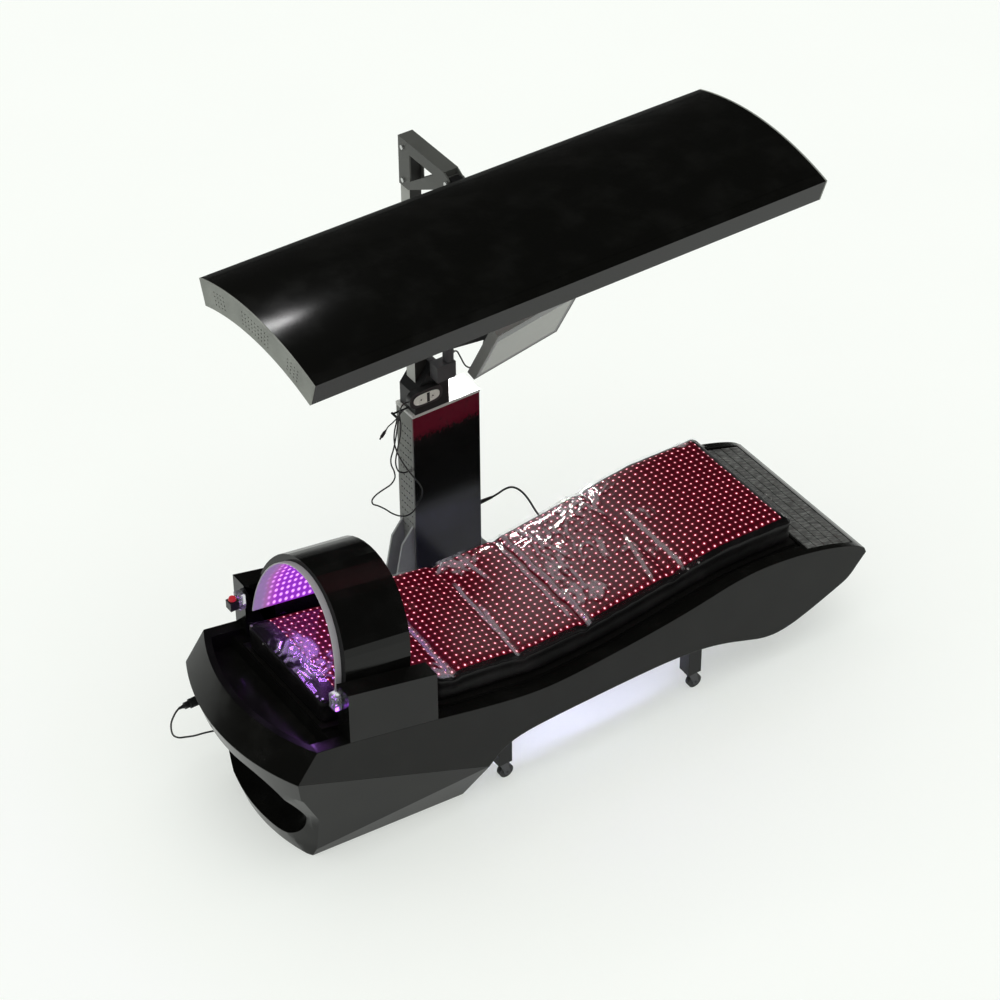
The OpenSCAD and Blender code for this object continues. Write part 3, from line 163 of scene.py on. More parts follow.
class NodeSheet:
    """The node tree of one material, or of the world."""

    def __init__(self, owner: "bpy.types.Material | bpy.types.World", place: str = "Object") -> None:
        """Starts an empty tree.

        Args:
            owner: The material or world that it belongs to.
            place: The coordinates that its patterns lie in.
        """
        owner.use_nodes = True
        self.owner = owner
        self.tree = owner.node_tree
        self.tree.nodes.clear()
        self.place = self.node("ShaderNodeTexCoord", output=place)

    def node(self, kind: str, settings: dict[str, Any] | None = None,
             inputs: dict[int | str, Any] | None = None, output: int | str = 0) -> Value:
        """Adds one node.

        Args:
            kind: The node's type.
            settings: Its own settings, set first; stops are a ramp's (place, colour) pairs.
            inputs: Numbers, colours or values of its sockets.
            output: The socket that the result comes from.

        Returns:
            The chosen output.
        """
        made = self.tree.nodes.new(kind)
        for name, value in (settings or {}).items():
            if name == "stops":
                elements = made.color_ramp.elements
                while len(elements) < len(value):
                    elements.new(0.5)
                for element, (at, colour) in zip(elements, value):
                    element.position, element.color = at, (*colour, 1.0)
            else:
                setattr(made, name, value)
        for key, value in (inputs or {}).items():
            if isinstance(value, Value):
                self.tree.links.new(value.socket, made.inputs[key])
            else:
                made.inputs[key].default_value = value
        return Value(self, made.outputs[output])

    def axes(self) -> tuple[Value, Value, Value]:
        """The place of a point along X, Y and Z, in metres."""
        split = self.node("ShaderNodeSeparateXYZ", inputs={0: self.place})
        return tuple(Value(self, s) for s in split.socket.node.outputs)

    def along(self, origin: Point, axis: Point) -> Value:
        """How far a point lies from an origin along an axis."""
        there = self.node("ShaderNodeVectorMath", {"operation": "SUBTRACT"}, {0: self.place, 1: origin})
        return self.node("ShaderNodeVectorMath", {"operation": "DOT_PRODUCT"}, {0: there, 1: axis}, "Value")

    def scaled(self, colour: "Value | Colour", factor: Value) -> Value:
        """A colour times a number."""
        return self.node("ShaderNodeVectorMath", {"operation": "SCALE"}, {0: colour, "Scale": factor})

    def noise(self, scale: float, detail: float = 3.0, stretch: Point = (1, 1, 1),
              rough: float = 0.55) -> Value:
        """Cloudy noise from 0 to 1.

        Args:
            scale: Its frequency per metre.
            detail: Its octaves.
            stretch: Factors on the frequency along X, Y and Z.
            rough: How strong the finer octaves are.

        Returns:
            The noise.
        """
        at = self.node("ShaderNodeMapping", inputs={"Vector": self.place, "Scale": stretch})
        return self.node("ShaderNodeTexNoise", inputs={
            "Vector": at, "Scale": scale, "Detail": detail, "Roughness": rough}, output="Fac")

    def cells(self, scale: float, stretch: Point = (1, 1, 1)) -> Value:
        """Distance to the middle of small cells."""
        at = self.node("ShaderNodeMapping", inputs={"Vector": self.place, "Scale": stretch})
        return self.node("ShaderNodeTexVoronoi", inputs={"Vector": at, "Scale": scale}, output="Distance")

    def mixed(self, mask: "Value | float", first: "Value | Colour", second: "Value | Colour") -> Value:
        """A colour between two.

        Args:
            mask: The second colour's share.
            first: The colour where the mask is 0.
            second: The colour where it is 1.

        Returns:
            The colour.
        """
        pick = {0: mask}
        for key, colour in ((6, first), (7, second)):
            pick[key] = colour if isinstance(colour, Value) else (*colour, 1.0)
        return self.node("ShaderNodeMix", {"data_type": "RGBA"}, pick, 2)

    def bump(self, height: Value, depth: float, strength: float = 1.0) -> Value:
        """A normal from a height of 0 to 1.

        Args:
            height: The height.
            depth: What a height of 1 is, in metres.
            strength: How much of it shows.

        Returns:
            The normal.
        """
        return self.node("ShaderNodeBump", inputs={
            "Height": height, "Distance": depth, "Strength": strength}, output="Normal")

    def surface(self, **sockets: Any) -> Value:
        """A Principled surface.

        Args:
            sockets: Its sockets' values, with low lines for the blanks in their names.

        Returns:
            The shader.
        """
        named = {key.replace("_", " "): value for key, value in sockets.items()}
        for key, value in named.items():
            if not isinstance(value, (Value, float, int)) and len(value) == 3:
                named[key] = (*value, 1.0)
        return self.node("ShaderNodeBsdfPrincipled", inputs=named, output="BSDF")

    def close(self, surface: Value,
              kind: str = "ShaderNodeOutputMaterial") -> "bpy.types.Material | bpy.types.World":
        """Ends the tree.

        Args:
            surface: The shader that it ends with.
            kind: The output node's type.

        Returns:
            The material or world.
        """
        end = self.tree.nodes.new(kind)
        self.tree.links.new(surface.socket, end.inputs["Surface"])
        return self.owner

    def dots(self, u: Value, v: Value, pitch: float, radius: float, blur: float) -> tuple[Value, Value]:
        """A square grid of round dots.

        Args:
            u: Distance along one way of the grid.
            v: Distance along the other.
            pitch: Distance between dots.
            radius: Radius of a dot.
            blur: Width of its soft edge.

        Returns:
            The dots' mask, and 0 or 1 for every other dot.
        """
        du = ((u / pitch).fraction() - 0.5) * pitch
        dv = ((v / pitch).fraction() - 0.5) * pitch
        away = (du * du + dv * dv).root()
        other = ((u / pitch).floor() + (v / pitch).floor()).modulo(2.0)
        return away.rise(radius + blur, max(radius - blur, 0.0)), other


@dataclass(frozen=True)
class Finish:
    """A named surface, built once."""

    name: str

    def shade(self, sheet: NodeSheet) -> Value:
        """The surface itself, on a new sheet."""
        raise NotImplementedError

    def material(self) -> bpy.types.Material:
        """Makes the material when it is first asked for.

        Returns:
            The material.
        """
        title = self.name + "_finish"
        known = bpy.data.materials.get(title)
        if known:
            return known
        sheet = NodeSheet(bpy.data.materials.new(title))
        return sheet.close(self.shade(sheet))


@dataclass(frozen=True)
class Lacquer(Finish):
    """Deep polished gel coat with faint haze, dust and a slow wave in its reflections."""

    colour: Colour = (0.0036, 0.0036, 0.0033)
    roughness: float = 0.13
    haze: float = 0.08
    wave: float = 0.0008
    gloss: float = 0.36

    def shade(self, sheet: NodeSheet) -> Value:
        """Polished coat over a dark base.

        Args:
            sheet: The sheet that it is built on.

        Returns:
            The shader.
        """
        smudge = sheet.noise(9.0, 4.0).rise(0.42, 0.78)
        dust = sheet.cells(260.0).rise(0.16, 0.05) * sheet.noise(6.0, 2.0).rise(0.5, 0.8)
        slow = sheet.noise(4.5, 1.0)
        peel = sheet.noise(420.0, 2.0)
        lifted = tuple(c * 1.8 + 0.002 for c in self.colour)
        base = sheet.mixed(smudge * 0.6, self.colour, lifted)
        return sheet.surface(
            Base_Color=sheet.mixed(dust * 0.35, base, (0.16, 0.16, 0.15)),
            Roughness=smudge * self.haze + self.roughness,
            Normal=sheet.bump(slow + peel * 0.012, self.wave), IOR=1.42, Specular_IOR_Level=self.gloss)


@dataclass(frozen=True)
class Paint(Finish):
    """Powder coat with a fine orange-peel grain and rubbed patches."""

    colour: Colour = (0.30, 0.31, 0.30)
    roughness: float = 0.5
    grain: float = 700.0
    depth: float = 0.00025
    mottle: float = 0.35
    gloss: float = 0.28

    def tone(self, sheet: NodeSheet, fine: Value, slow: Value) -> Value:
        """The coat's colour.

        Args:
            sheet: The sheet that it is built on.
            fine: The coat's grain.
            slow: Its mottling.

        Returns:
            The colour.
        """
        low = tuple(c * (1 - self.mottle) for c in self.colour)
        high = tuple(min(1.0, c * (1 + self.mottle)) for c in self.colour)
        return sheet.mixed(slow * 0.65 + fine * 0.35, low, high)

    def shade(self, sheet: NodeSheet) -> Value:
        """Grained coat with slow mottling.

        Args:
            sheet: The sheet that it is built on.

        Returns:
            The shader.
        """
        fine = sheet.noise(self.grain, 2.0)
        slow = sheet.noise(11.0, 4.0)
        return sheet.surface(
            Base_Color=self.tone(sheet, fine, slow), Roughness=fine * 0.16 + (self.roughness - 0.05),
            Specular_IOR_Level=self.gloss, Normal=sheet.bump(fine, self.depth, 0.6))


@dataclass(frozen=True)
class SideLitPaint(Paint):
    """Dark paint with a painted highlight: its head-facing side is painted pale, with mottling."""

    # Colour of the painted highlight on the head-facing side.
    pale: Colour = (0.44, 0.45, 0.42)

    def tone(self, sheet: NodeSheet, fine: Value, slow: Value) -> Value:
        """The coat's colour, with painted light: pale where the face looks to the head end.

        Args:
            sheet: The sheet that it is built on.
            fine: The coat's grain.
            slow: Its mottling.

        Returns:
            The colour.
        """
        normal = sheet.node("ShaderNodeNewGeometry", output="Normal")
        # Painted light: faces that look to the head end get the pale colour in place of the light falling on
        # that side.
        painted_light_side = sheet.node("ShaderNodeSeparateXYZ", inputs={0: normal}, output="X").rise(-0.5, -0.7)
        dark = sheet.mixed(slow, self.colour, tuple(c * 1.8 for c in self.colour))
        painted_light_dim = tuple(c * 0.7 for c in self.pale)
        return sheet.mixed(painted_light_side, dark, sheet.mixed(slow * 0.65 + fine * 0.35, painted_light_dim, self.pale))


@dataclass(frozen=True)
class Brushed(Finish):
    """Drawn or brushed metal with streaks along one axis."""

    colour: Colour = (0.62, 0.63, 0.62)
    roughness: float = 0.34
    grain: Point = (4, 900, 900)

    def shade(self, sheet: NodeSheet) -> Value:
        """Metal with long streaks and finger marks.

        Args:
            sheet: The sheet that it is built on.

        Returns:
            The shader.
        """
        streak = sheet.noise(1.0, 3.0, self.grain)
        marks = sheet.noise(14.0, 4.0).rise(0.45, 0.75)
        dark = tuple(c * 0.72 for c in self.colour)
        return sheet.surface(
            Base_Color=sheet.mixed(streak, dark, self.colour), Metallic=0.9,
            Roughness=streak * 0.14 + marks * 0.1 + self.roughness,
            Normal=sheet.bump(streak, 0.00008, 0.5))


@dataclass(frozen=True)
class Rubber(Finish):
    """Moulded rubber or plastic with a dry bloom."""

    colour: Colour = (0.018, 0.018, 0.018)
    roughness: float = 0.55
    depth: float = 0.0003

    def shade(self, sheet: NodeSheet) -> Value:
        """Matt moulding with a pale bloom in places.

        Args:
            sheet: The sheet that it is built on.

        Returns:
            The shader.
        """
        bloom = sheet.noise(34.0, 4.0).rise(0.5, 0.8)
        skin = sheet.noise(900.0, 2.0)
        pale = tuple(c * 2.0 + 0.01 for c in self.colour)
        return sheet.surface(
            Base_Color=sheet.mixed(bloom * 0.5, self.colour, pale), Roughness=skin * 0.15 + self.roughness,
            Normal=sheet.bump(skin, self.depth, 0.5))


@dataclass(frozen=True)
class Leatherette(Finish):
    """Black upholstery vinyl: pebbled grain, soft sheen and stretch lines."""

    def shade(self, sheet: NodeSheet) -> Value:
        """Pebble grain over slow undulation.

        Args:
            sheet: The sheet that it is built on.

        Returns:
            The shader.
        """
        pebble = sheet.cells(620.0)
        stretch = sheet.noise(26.0, 4.0, (3.2, 0.8, 0.8))
        wear = sheet.noise(8.0, 3.0).rise(0.45, 0.8)
        height = pebble * 0.35 + stretch * 0.9
        return sheet.surface(
            Base_Color=sheet.mixed(wear, (0.0055, 0.0050, 0.0052), (0.013, 0.011, 0.012)),
            Roughness=wear * 0.12 + pebble * 0.1 + 0.30, Normal=sheet.bump(height, 0.0012, 0.55),
            Specular_IOR_Level=0.22)


@dataclass(frozen=True)
class LightMat(Finish):
    """Red light mat: small lamps in a grid on a dark wine-red carrier.

    A lamp and its halo are given by radius and width of the soft edge.
    """

    pitch: float = 0.0238
    corner: tuple[float, float] = (-0.905, -0.2499)
    lamp: tuple[float, float] = (0.0030, 0.0012)
    halo: tuple[float, float] = (0.0066, 0.0060)
    lamp_power: float = 1.35
    halo_power: float = 0.34
    carrier_power: float = 0.050

    def shade(self, sheet: NodeSheet) -> Value:
        """Carrier, halo and lamp of each dot.

        Args:
            sheet: The sheet that it is built on.

        Returns:
            The shader.
        """
        x, y, _ = sheet.axes()
        u, v = x - self.corner[0], y - self.corner[1]
        lamp, other = sheet.dots(u, v, self.pitch, *self.lamp)
        halo, _ = sheet.dots(u, v, self.pitch, *self.halo)
        patchy = sheet.noise(7.0, 3.0)
        bright = (1.0 - other * 0.45) * (patchy * 0.6 + 0.7)
        carrier = sheet.mixed(patchy, (0.012, 0.0012, 0.003), (0.030, 0.002, 0.006))
        glow = sheet.mixed(lamp, (0.60, 0.004, 0.040), (1.0, 0.50, 0.58))
        strength = lamp * self.lamp_power * bright + halo * self.halo_power * bright + self.carrier_power
        return sheet.surface(
            Base_Color=sheet.mixed(lamp, carrier, (0.8, 0.4, 0.45)), Roughness=0.6, Specular_IOR_Level=0.08,
            Emission_Color=sheet.scaled(glow, strength), Emission_Strength=1.0,
            Normal=sheet.bump(lamp + sheet.noise(160.0) * 0.25, 0.0006))


@dataclass(frozen=True)
class Film(Finish):
    """Clear protective film: its gloss shows, and its creases whiten, partly real whitening and partly a
    painted highlight.
    """

    roughness: float = 0.06
    # Share of the white haze on the creases, which is partly a painted highlight.
    haze: float = 0.24

    def shade(self, sheet: NodeSheet) -> Value:
        """Clear sheet that mirrors by its angle, with haze on the creases that is partly a painted highlight.

        Args:
            sheet: The sheet that it is built on.

        Returns:
            The shader.
        """
        crease = sheet.node("ShaderNodeAttribute", {"attribute_name": "crease"}, output="Fac")
        fine = sheet.noise(95.0, 4.0, (1.6, 0.8, 1.0))
        crinkle = sheet.bump(fine, 0.0001, 0.2)
        gloss = sheet.node("ShaderNodeBsdfGlossy", inputs={
            "Color": (1, 1, 1, 1), "Roughness": self.roughness, "Normal": crinkle})
        clear = sheet.node("ShaderNodeBsdfTransparent", inputs={"Color": (0.97, 0.97, 0.98, 1)})
        # White diffuse haze on the creases: partly real crease whitening, partly a painted highlight for the
        # glints along them.
        haze = sheet.node("ShaderNodeBsdfDiffuse", inputs={"Color": (0.85, 0.85, 0.88, 1)})
        mirror = sheet.node("ShaderNodeFresnel", inputs={"IOR": 1.5, "Normal": crinkle})
        shine = mirror * (crease * 1.5 + 0.5)
        glossy = sheet.node("ShaderNodeMixShader", inputs={0: shine, 1: clear, 2: gloss})
        return sheet.node("ShaderNodeMixShader", inputs={0: crease * self.haze, 1: glossy, 2: haze})


@dataclass(frozen=True)
class Opal(Finish):
    """The dome's opal liner: white plastic at its rim, violet lamp glow inside.

    A lamp is given by radius and width of its soft edge.
    """

    origin: Point = (-0.880, 0.0, 0.610)
    pitch_deg: float = 9.0
    half_wide: float = 0.2385
    half_high: float = 0.2985
    round_radius: float = 0.262
    lamp_pitch: float = 0.0215
    lamp: tuple[float, float] = (0.0052, 0.0042)

    def shade(self, sheet: NodeSheet) -> Value:
        """White rim that passes through pink into violet with rows of lamps.

        Args:
            sheet: The sheet that it is built on.

        Returns:
            The shader.
        """
        tilt = math.radians(self.pitch_deg)
        deep = sheet.along(self.origin, (math.cos(tilt), 0.0, -math.sin(tilt)))
        high = sheet.along(self.origin, (math.sin(tilt), 0.0, math.cos(tilt)))
        _, y, _ = sheet.axes()
        round_way = (high / 1.25).angle_to(y) * self.round_radius
        inner = ((y / self.half_wide) ** 2.0 + (high / self.half_high) ** 2.0).rise(1.004, 0.996)
        cloud = sheet.noise(11.0, 2.0)
        lit = (deep + cloud * 0.03).rise(0.040, 0.100) * inner
        lamp, _ = sheet.dots(deep, round_way, self.lamp_pitch, *self.lamp)
        colours = sheet.node("ShaderNodeValToRGB", {"stops": [
            (0.0, (0.50, 0.40, 0.52)), (0.30, (0.72, 0.16, 0.40)), (0.48, (0.50, 0.06, 0.52)),
            (1.0, (0.30, 0.03, 0.58))]}, {0: (deep + cloud * 0.03).rise(0.02, 0.12)})
        glow = sheet.mixed(lamp * 0.75, colours, (0.95, 0.45, 1.0))
        strength = lit * (lamp * 1.1 + 0.75) + inner * 0.10
        base = sheet.mixed(lit, (0.40, 0.39, 0.41), (0.05, 0.01, 0.07))
        return sheet.surface(
            Base_Color=base, Roughness=cloud * 0.1 + 0.40, Specular_IOR_Level=0.12,
            Emission_Color=sheet.scaled(glow, strength), Emission_Strength=1.0)


@dataclass(frozen=True)
class LampBoard(Finish):
    """A lamp panel that glows with rows of diodes, each given by radius and soft edge."""

    glow: Colour = (0.95, 0.03, 0.12)
    strength: float = 2.2
    pitch: float = 0.022
    diode: tuple[float, float] = (0.0042, 0.0018)

    def shade(self, sheet: NodeSheet) -> Value:
        """Diodes in a grid on a dark board.

        Args:
            sheet: The sheet that it is built on.

        Returns:
            The shader.
        """
        x, y, _ = sheet.axes()
        lamp, other = sheet.dots(x, y, self.pitch, *self.diode)
        power = lamp * (1.0 - other * 0.3) * self.strength + 0.16
        board = sheet.mixed(sheet.noise(30.0), (0.02, 0.004, 0.008), (0.06, 0.008, 0.016))
        return sheet.surface(
            Base_Color=board, Roughness=0.5, Emission_Strength=1.0,
            Emission_Color=sheet.scaled(self.glow, power))


@dataclass(frozen=True)
class Glow(Finish):
    """A lit strip behind a frosted cover."""

    colour: Colour = (0.62, 0.62, 1.0)
    strength: float = 62.0
    pitch: float = 0.034

    def shade(self, sheet: NodeSheet) -> Value:
        """Light with soft unevenness between its lamps.

        Args:
            sheet: The sheet that it is built on.

        Returns:
            The shader.
        """
        x, _, _ = sheet.axes()
        beads = abs((x / self.pitch).fraction() - 0.5).rise(0.5, 0.1)
        power = beads * (self.strength * 0.35) + self.strength * 0.65
        return sheet.surface(
            Base_Color=(0.8, 0.8, 0.85), Roughness=0.4, Emission_Strength=1.0,
            Emission_Color=sheet.scaled(self.colour, power))


@dataclass(frozen=True)
class ClearPlastic(Finish):
    """Clear acrylic, tinted, with fine scratches."""

    tint: Colour = (0.92, 0.94, 0.96)
    roughness: float = 0.06
    clear: float = 0.9

    def shade(self, sheet: NodeSheet) -> Value:
        """Transmission through a scratched skin.

        Args:
            sheet: The sheet that it is built on.

        Returns:
            The shader.
        """
        scratch = sheet.noise(180.0, 3.0, (6.0, 0.6, 0.6)).rise(0.6, 0.8)
        return sheet.surface(
            Base_Color=sheet.mixed(scratch * 0.3, self.tint, (1.0, 1.0, 1.0)), IOR=1.46,
            Transmission_Weight=self.clear, Roughness=scratch * 0.2 + self.roughness)


@dataclass(frozen=True)
class FrontPanel(Finish):
    """The column's glossy front: a red printed band on top and a dark blue fade below."""

    band_low: float = 0.716
    fray: float = 0.085
    fade_left: float = 0.412
    fade_right: float = 0.372
    left: float = -0.088
    width: float = 0.256

    def shade(self, sheet: NodeSheet) -> Value:
        """Black gloss with a speckled red band and a blue lower part.

        Args:
            sheet: The sheet that it is built on.

        Returns:
            The shader.
        """
        x, _, z = sheet.axes()
        fleck = sheet.noise(150.0, 4.0, (1.0, 1.0, 0.55), 0.7)
        ragged = (z + (fleck - 0.5) * self.fray).rise(self.band_low - 0.012, self.band_low + 0.022)
        speck = sheet.cells(210.0).rise(0.30, 0.12) * (z.rise(self.band_low - 0.05, self.band_low + 0.03))
        red = (ragged * 0.92 + speck * 0.22) * (1.0 - sheet.noise(40.0, 3.0).rise(0.56, 0.75) * 0.45)
        edge = (x - self.left) * ((self.fade_right - self.fade_left) / self.width) + self.fade_left
        blue = (z - edge).rise(0.012, -0.010)
        weave = sheet.noise(330.0, 2.0, (1.0, 1.0, 0.4))
        lower = sheet.mixed(weave, (0.0050, 0.0045, 0.010), (0.012, 0.0108, 0.026))
        base = sheet.mixed(blue, (0.0038, 0.0038, 0.0036), lower)
        return sheet.surface(
            Base_Color=sheet.mixed(red, base, (0.115, 0.0025, 0.014)),
            Roughness=sheet.noise(7.0, 3.0) * 0.1 + 0.14, IOR=1.4,
            Normal=sheet.bump(sheet.noise(5.0, 1.0), 0.0006))


@dataclass(frozen=True)
class ScreenFace(Finish):
    """Switched-off screen whose glass is painted pale as a painted reflection, with a dark strip along its
    top and a black border.
    """

    middle: Point = (0.276, 0.430, 1.062)
    turn_deg: float = 10.0
    tilt_deg: float = 26.0
    half_width: float = 0.179
    half_height: float = 0.1205

    def shade(self, sheet: NodeSheet) -> Value:
        """Glass painted pale as a painted reflection, inside a printed border.

        Args:
            sheet: The sheet that it is built on.

        Returns:
            The shader.
        """
        turn, tilt = math.radians(self.turn_deg), math.radians(self.tilt_deg)
        across = (math.cos(turn), math.sin(turn), 0.0)
        up = (math.sin(turn) * math.sin(tilt), -math.cos(turn) * math.sin(tilt), math.cos(tilt))
        side, rise = sheet.along(self.middle, across), sheet.along(self.middle, up)
        border = (1.0 - abs(side).rise(self.half_width - 0.012, self.half_width - 0.014)
                  * rise.rise(-self.half_height + 0.014, -self.half_height + 0.016))
        top = rise.rise(self.half_height - 0.046, self.half_height - 0.038)
        sheen = sheet.noise(6.0, 3.0)
        # Painted reflection: the pale tone stands in for the bright studio mirrored in the dark glass.
        pale = sheet.mixed(sheen, (0.22, 0.235, 0.205), (0.30, 0.32, 0.28))
        dark = sheet.mixed(top, pale, (0.012, 0.013, 0.012))
        return sheet.surface(
            Base_Color=sheet.mixed(border, dark, (0.006, 0.006, 0.006)),
            Roughness=sheen * 0.1 + 0.12, IOR=1.5, Normal=sheet.bump(sheet.noise(40.0), 0.0001, 0.3))


@dataclass(frozen=True)
class Tread(Finish):
    """Ribbed step panel: dark moulded plates with pale scuffed rib tops."""

    def shade(self, sheet: NodeSheet) -> Value:
        """Grey moulding with scuffs along its ribs.

        Args:
            sheet: The sheet that it is built on.

        Returns:
            The shader.
        """
        scuff = sheet.noise(60.0, 4.0, (0.5, 3.0, 1.0)).rise(0.42, 0.72)
        grain = sheet.cells(480.0)
        return sheet.surface(
            Base_Color=sheet.mixed(scuff, (0.058, 0.058, 0.055), (0.21, 0.215, 0.205)),
            Roughness=grain * 0.2 + 0.34, Normal=sheet.bump(grain, 0.0005, 0.6))


@dataclass(frozen=True)
class Board(Finish):
    """Birch plywood stained black, with its grain along the bed."""

    def shade(self, sheet: NodeSheet) -> Value:
        """Stained wood grain.

        Args:
            sheet: The sheet that it is built on.

        Returns:
            The shader.
        """
        grain = sheet.noise(18.0, 5.0, (0.15, 3.0, 3.0), 0.65)
        return sheet.surface(
            Base_Color=sheet.mixed(grain, (0.0030, 0.0028, 0.0026), (0.010, 0.009, 0.008)),
            Roughness=grain * 0.2 + 0.5, Normal=sheet.bump(grain, 0.0004, 0.5))


GLOSS = Lacquer("gloss_black")
HULL = Lacquer("hull_gel_coat", colour=(0.0042, 0.0042, 0.0037), roughness=0.15, haze=0.10,
               wave=0.0010, gloss=0.25)
CANOPY_TOP = Lacquer("canopy_gloss", colour=(0.0034, 0.0034, 0.0029), roughness=0.16, haze=0.04,
                     wave=0.0004, gloss=0.27)
STEEL_PAINT = Paint("painted_steel", colour=(0.05, 0.05, 0.052), roughness=0.45)
POST_BLACK = Paint("black_powder", colour=(0.0075, 0.0075, 0.0078), roughness=0.45)
COLUMN_GREY = Paint("column_grey", colour=(0.17, 0.178, 0.162), roughness=0.52, grain=420.0, depth=0.0006)
PLATE_GREY = Paint("floor_plate_grey", colour=(0.30, 0.32, 0.30), roughness=0.5, grain=300.0)
END_GREY = Paint("canopy_end_grey", colour=(0.25, 0.26, 0.235), roughness=0.5, grain=380.0,
                 depth=0.0009, mottle=0.5)
CASE_GREY = Paint("screen_case_grey", colour=(0.15, 0.155, 0.145), roughness=0.5, grain=420.0,
                  depth=0.0005)
MAST_GREY = SideLitPaint("mast_grey", colour=(0.0085, 0.0085, 0.0075), roughness=0.46, grain=380.0)
ARM_BLACK = Paint("gallows_grey", colour=(0.075, 0.077, 0.070), roughness=0.42, grain=300.0)
BRIGHT = Brushed("bright_steel", roughness=0.22)
LID = Paint("pale_lid", colour=(0.52, 0.53, 0.50), roughness=0.34, grain=300.0, mottle=0.25)
ALUMINIUM = Brushed("driver_aluminium", colour=(0.5, 0.51, 0.52), roughness=0.4)
CORD_BLACK = Rubber("cord_black", colour=(0.013, 0.013, 0.013), roughness=0.42)
TYRE = Rubber("wheel_rubber", colour=(0.03, 0.03, 0.03), roughness=0.6)
POD = Rubber("moulded_black", colour=(0.012, 0.012, 0.012), roughness=0.34)
KEY_WHITE = Rubber("keypad_white", colour=(0.62, 0.62, 0.56), roughness=0.38)
RED_CAP = Rubber("stop_red", colour=(0.55, 0.012, 0.02), roughness=0.3)
VINYL = Leatherette("black_leatherette")
MAT = LightMat("light_mat_red")
FILM = Film("clear_film")
OPAL = Opal("opal_liner")
BOARD = Board("stained_board")
CLAMP = ClearPlastic("clear_clamp")
DIFFUSER = ClearPlastic("canopy_diffuser", tint=(0.80, 0.78, 0.80), roughness=0.18)
PANEL = LampBoard("canopy_lamps")
DOME_BOARD = LampBoard("dome_lamps", glow=(0.60, 0.06, 0.85), strength=1.6)
STRIP = Glow("underglow")
FRONT = FrontPanel("column_front_print")
DARK_STEEL = Brushed("dark_steel", colour=(0.10, 0.10, 0.105), roughness=0.36)
FACE = ScreenFace("screen_face")
TREAD = Tread("ribbed_tread")

NODE_FINISH: dict[str, Finish] = {
    "upper_hull": HULL, "head_pedestal": HULL, "foot_tread": TREAD, "base_frame": STEEL_PAINT,
    "leg_posts": POST_BLACK, "driver_box": ALUMINIUM, "underglow_strip": STRIP, "pad_board": BOARD,
    "cheek_near": GLOSS, "cheek_far": GLOSS, "dome_shell": GLOSS, "dome_liner": OPAL,
    "dome_light_board": DOME_BOARD, "hinge_clamps": CLAMP, "hinge_pins": BRIGHT, "stop_pod": POD,
    "stop_button": RED_CAP, "column_base": PLATE_GREY, "column_housing": COLUMN_GREY, "column_front": FRONT,
    "column_lid": LID, "column_screws": BRIGHT, "lift_actuator": POST_BLACK, "lift_rod": BRIGHT,
    "mast_guide": POST_BLACK, "mast": MAST_GREY, "gallows_arm": ARM_BLACK, "arm_bolts": BRIGHT,
    "tilt_pin": BRIGHT, "tilt_bracket": POST_BLACK, "canopy_frame": STEEL_PAINT, "canopy_shell": CANOPY_TOP,
    "canopy_end_head": END_GREY, "canopy_end_foot": END_GREY, "canopy_light_panel": PANEL,
    "canopy_diffuser": DIFFUSER, "screen_bracket": STEEL_PAINT, "screen_arm": STEEL_PAINT,
    "screen_casing": CASE_GREY, "screen_glass": FACE, "handset": POD,
    "key_up": KEY_WHITE, "key_down": KEY_WHITE,
    **{f"fork_{end}_{side}": DARK_STEEL for end in ("head", "foot") for side in ("near", "far")},
    **{f"wheel_{end}_{side}": TYRE for end in ("head", "foot") for side in ("near", "far")},
}


def angles(count: int) -> list[float]:
    """Evenly spaced angles round a circle."""
    return [2 * math.pi * i / count for i in range(count)]


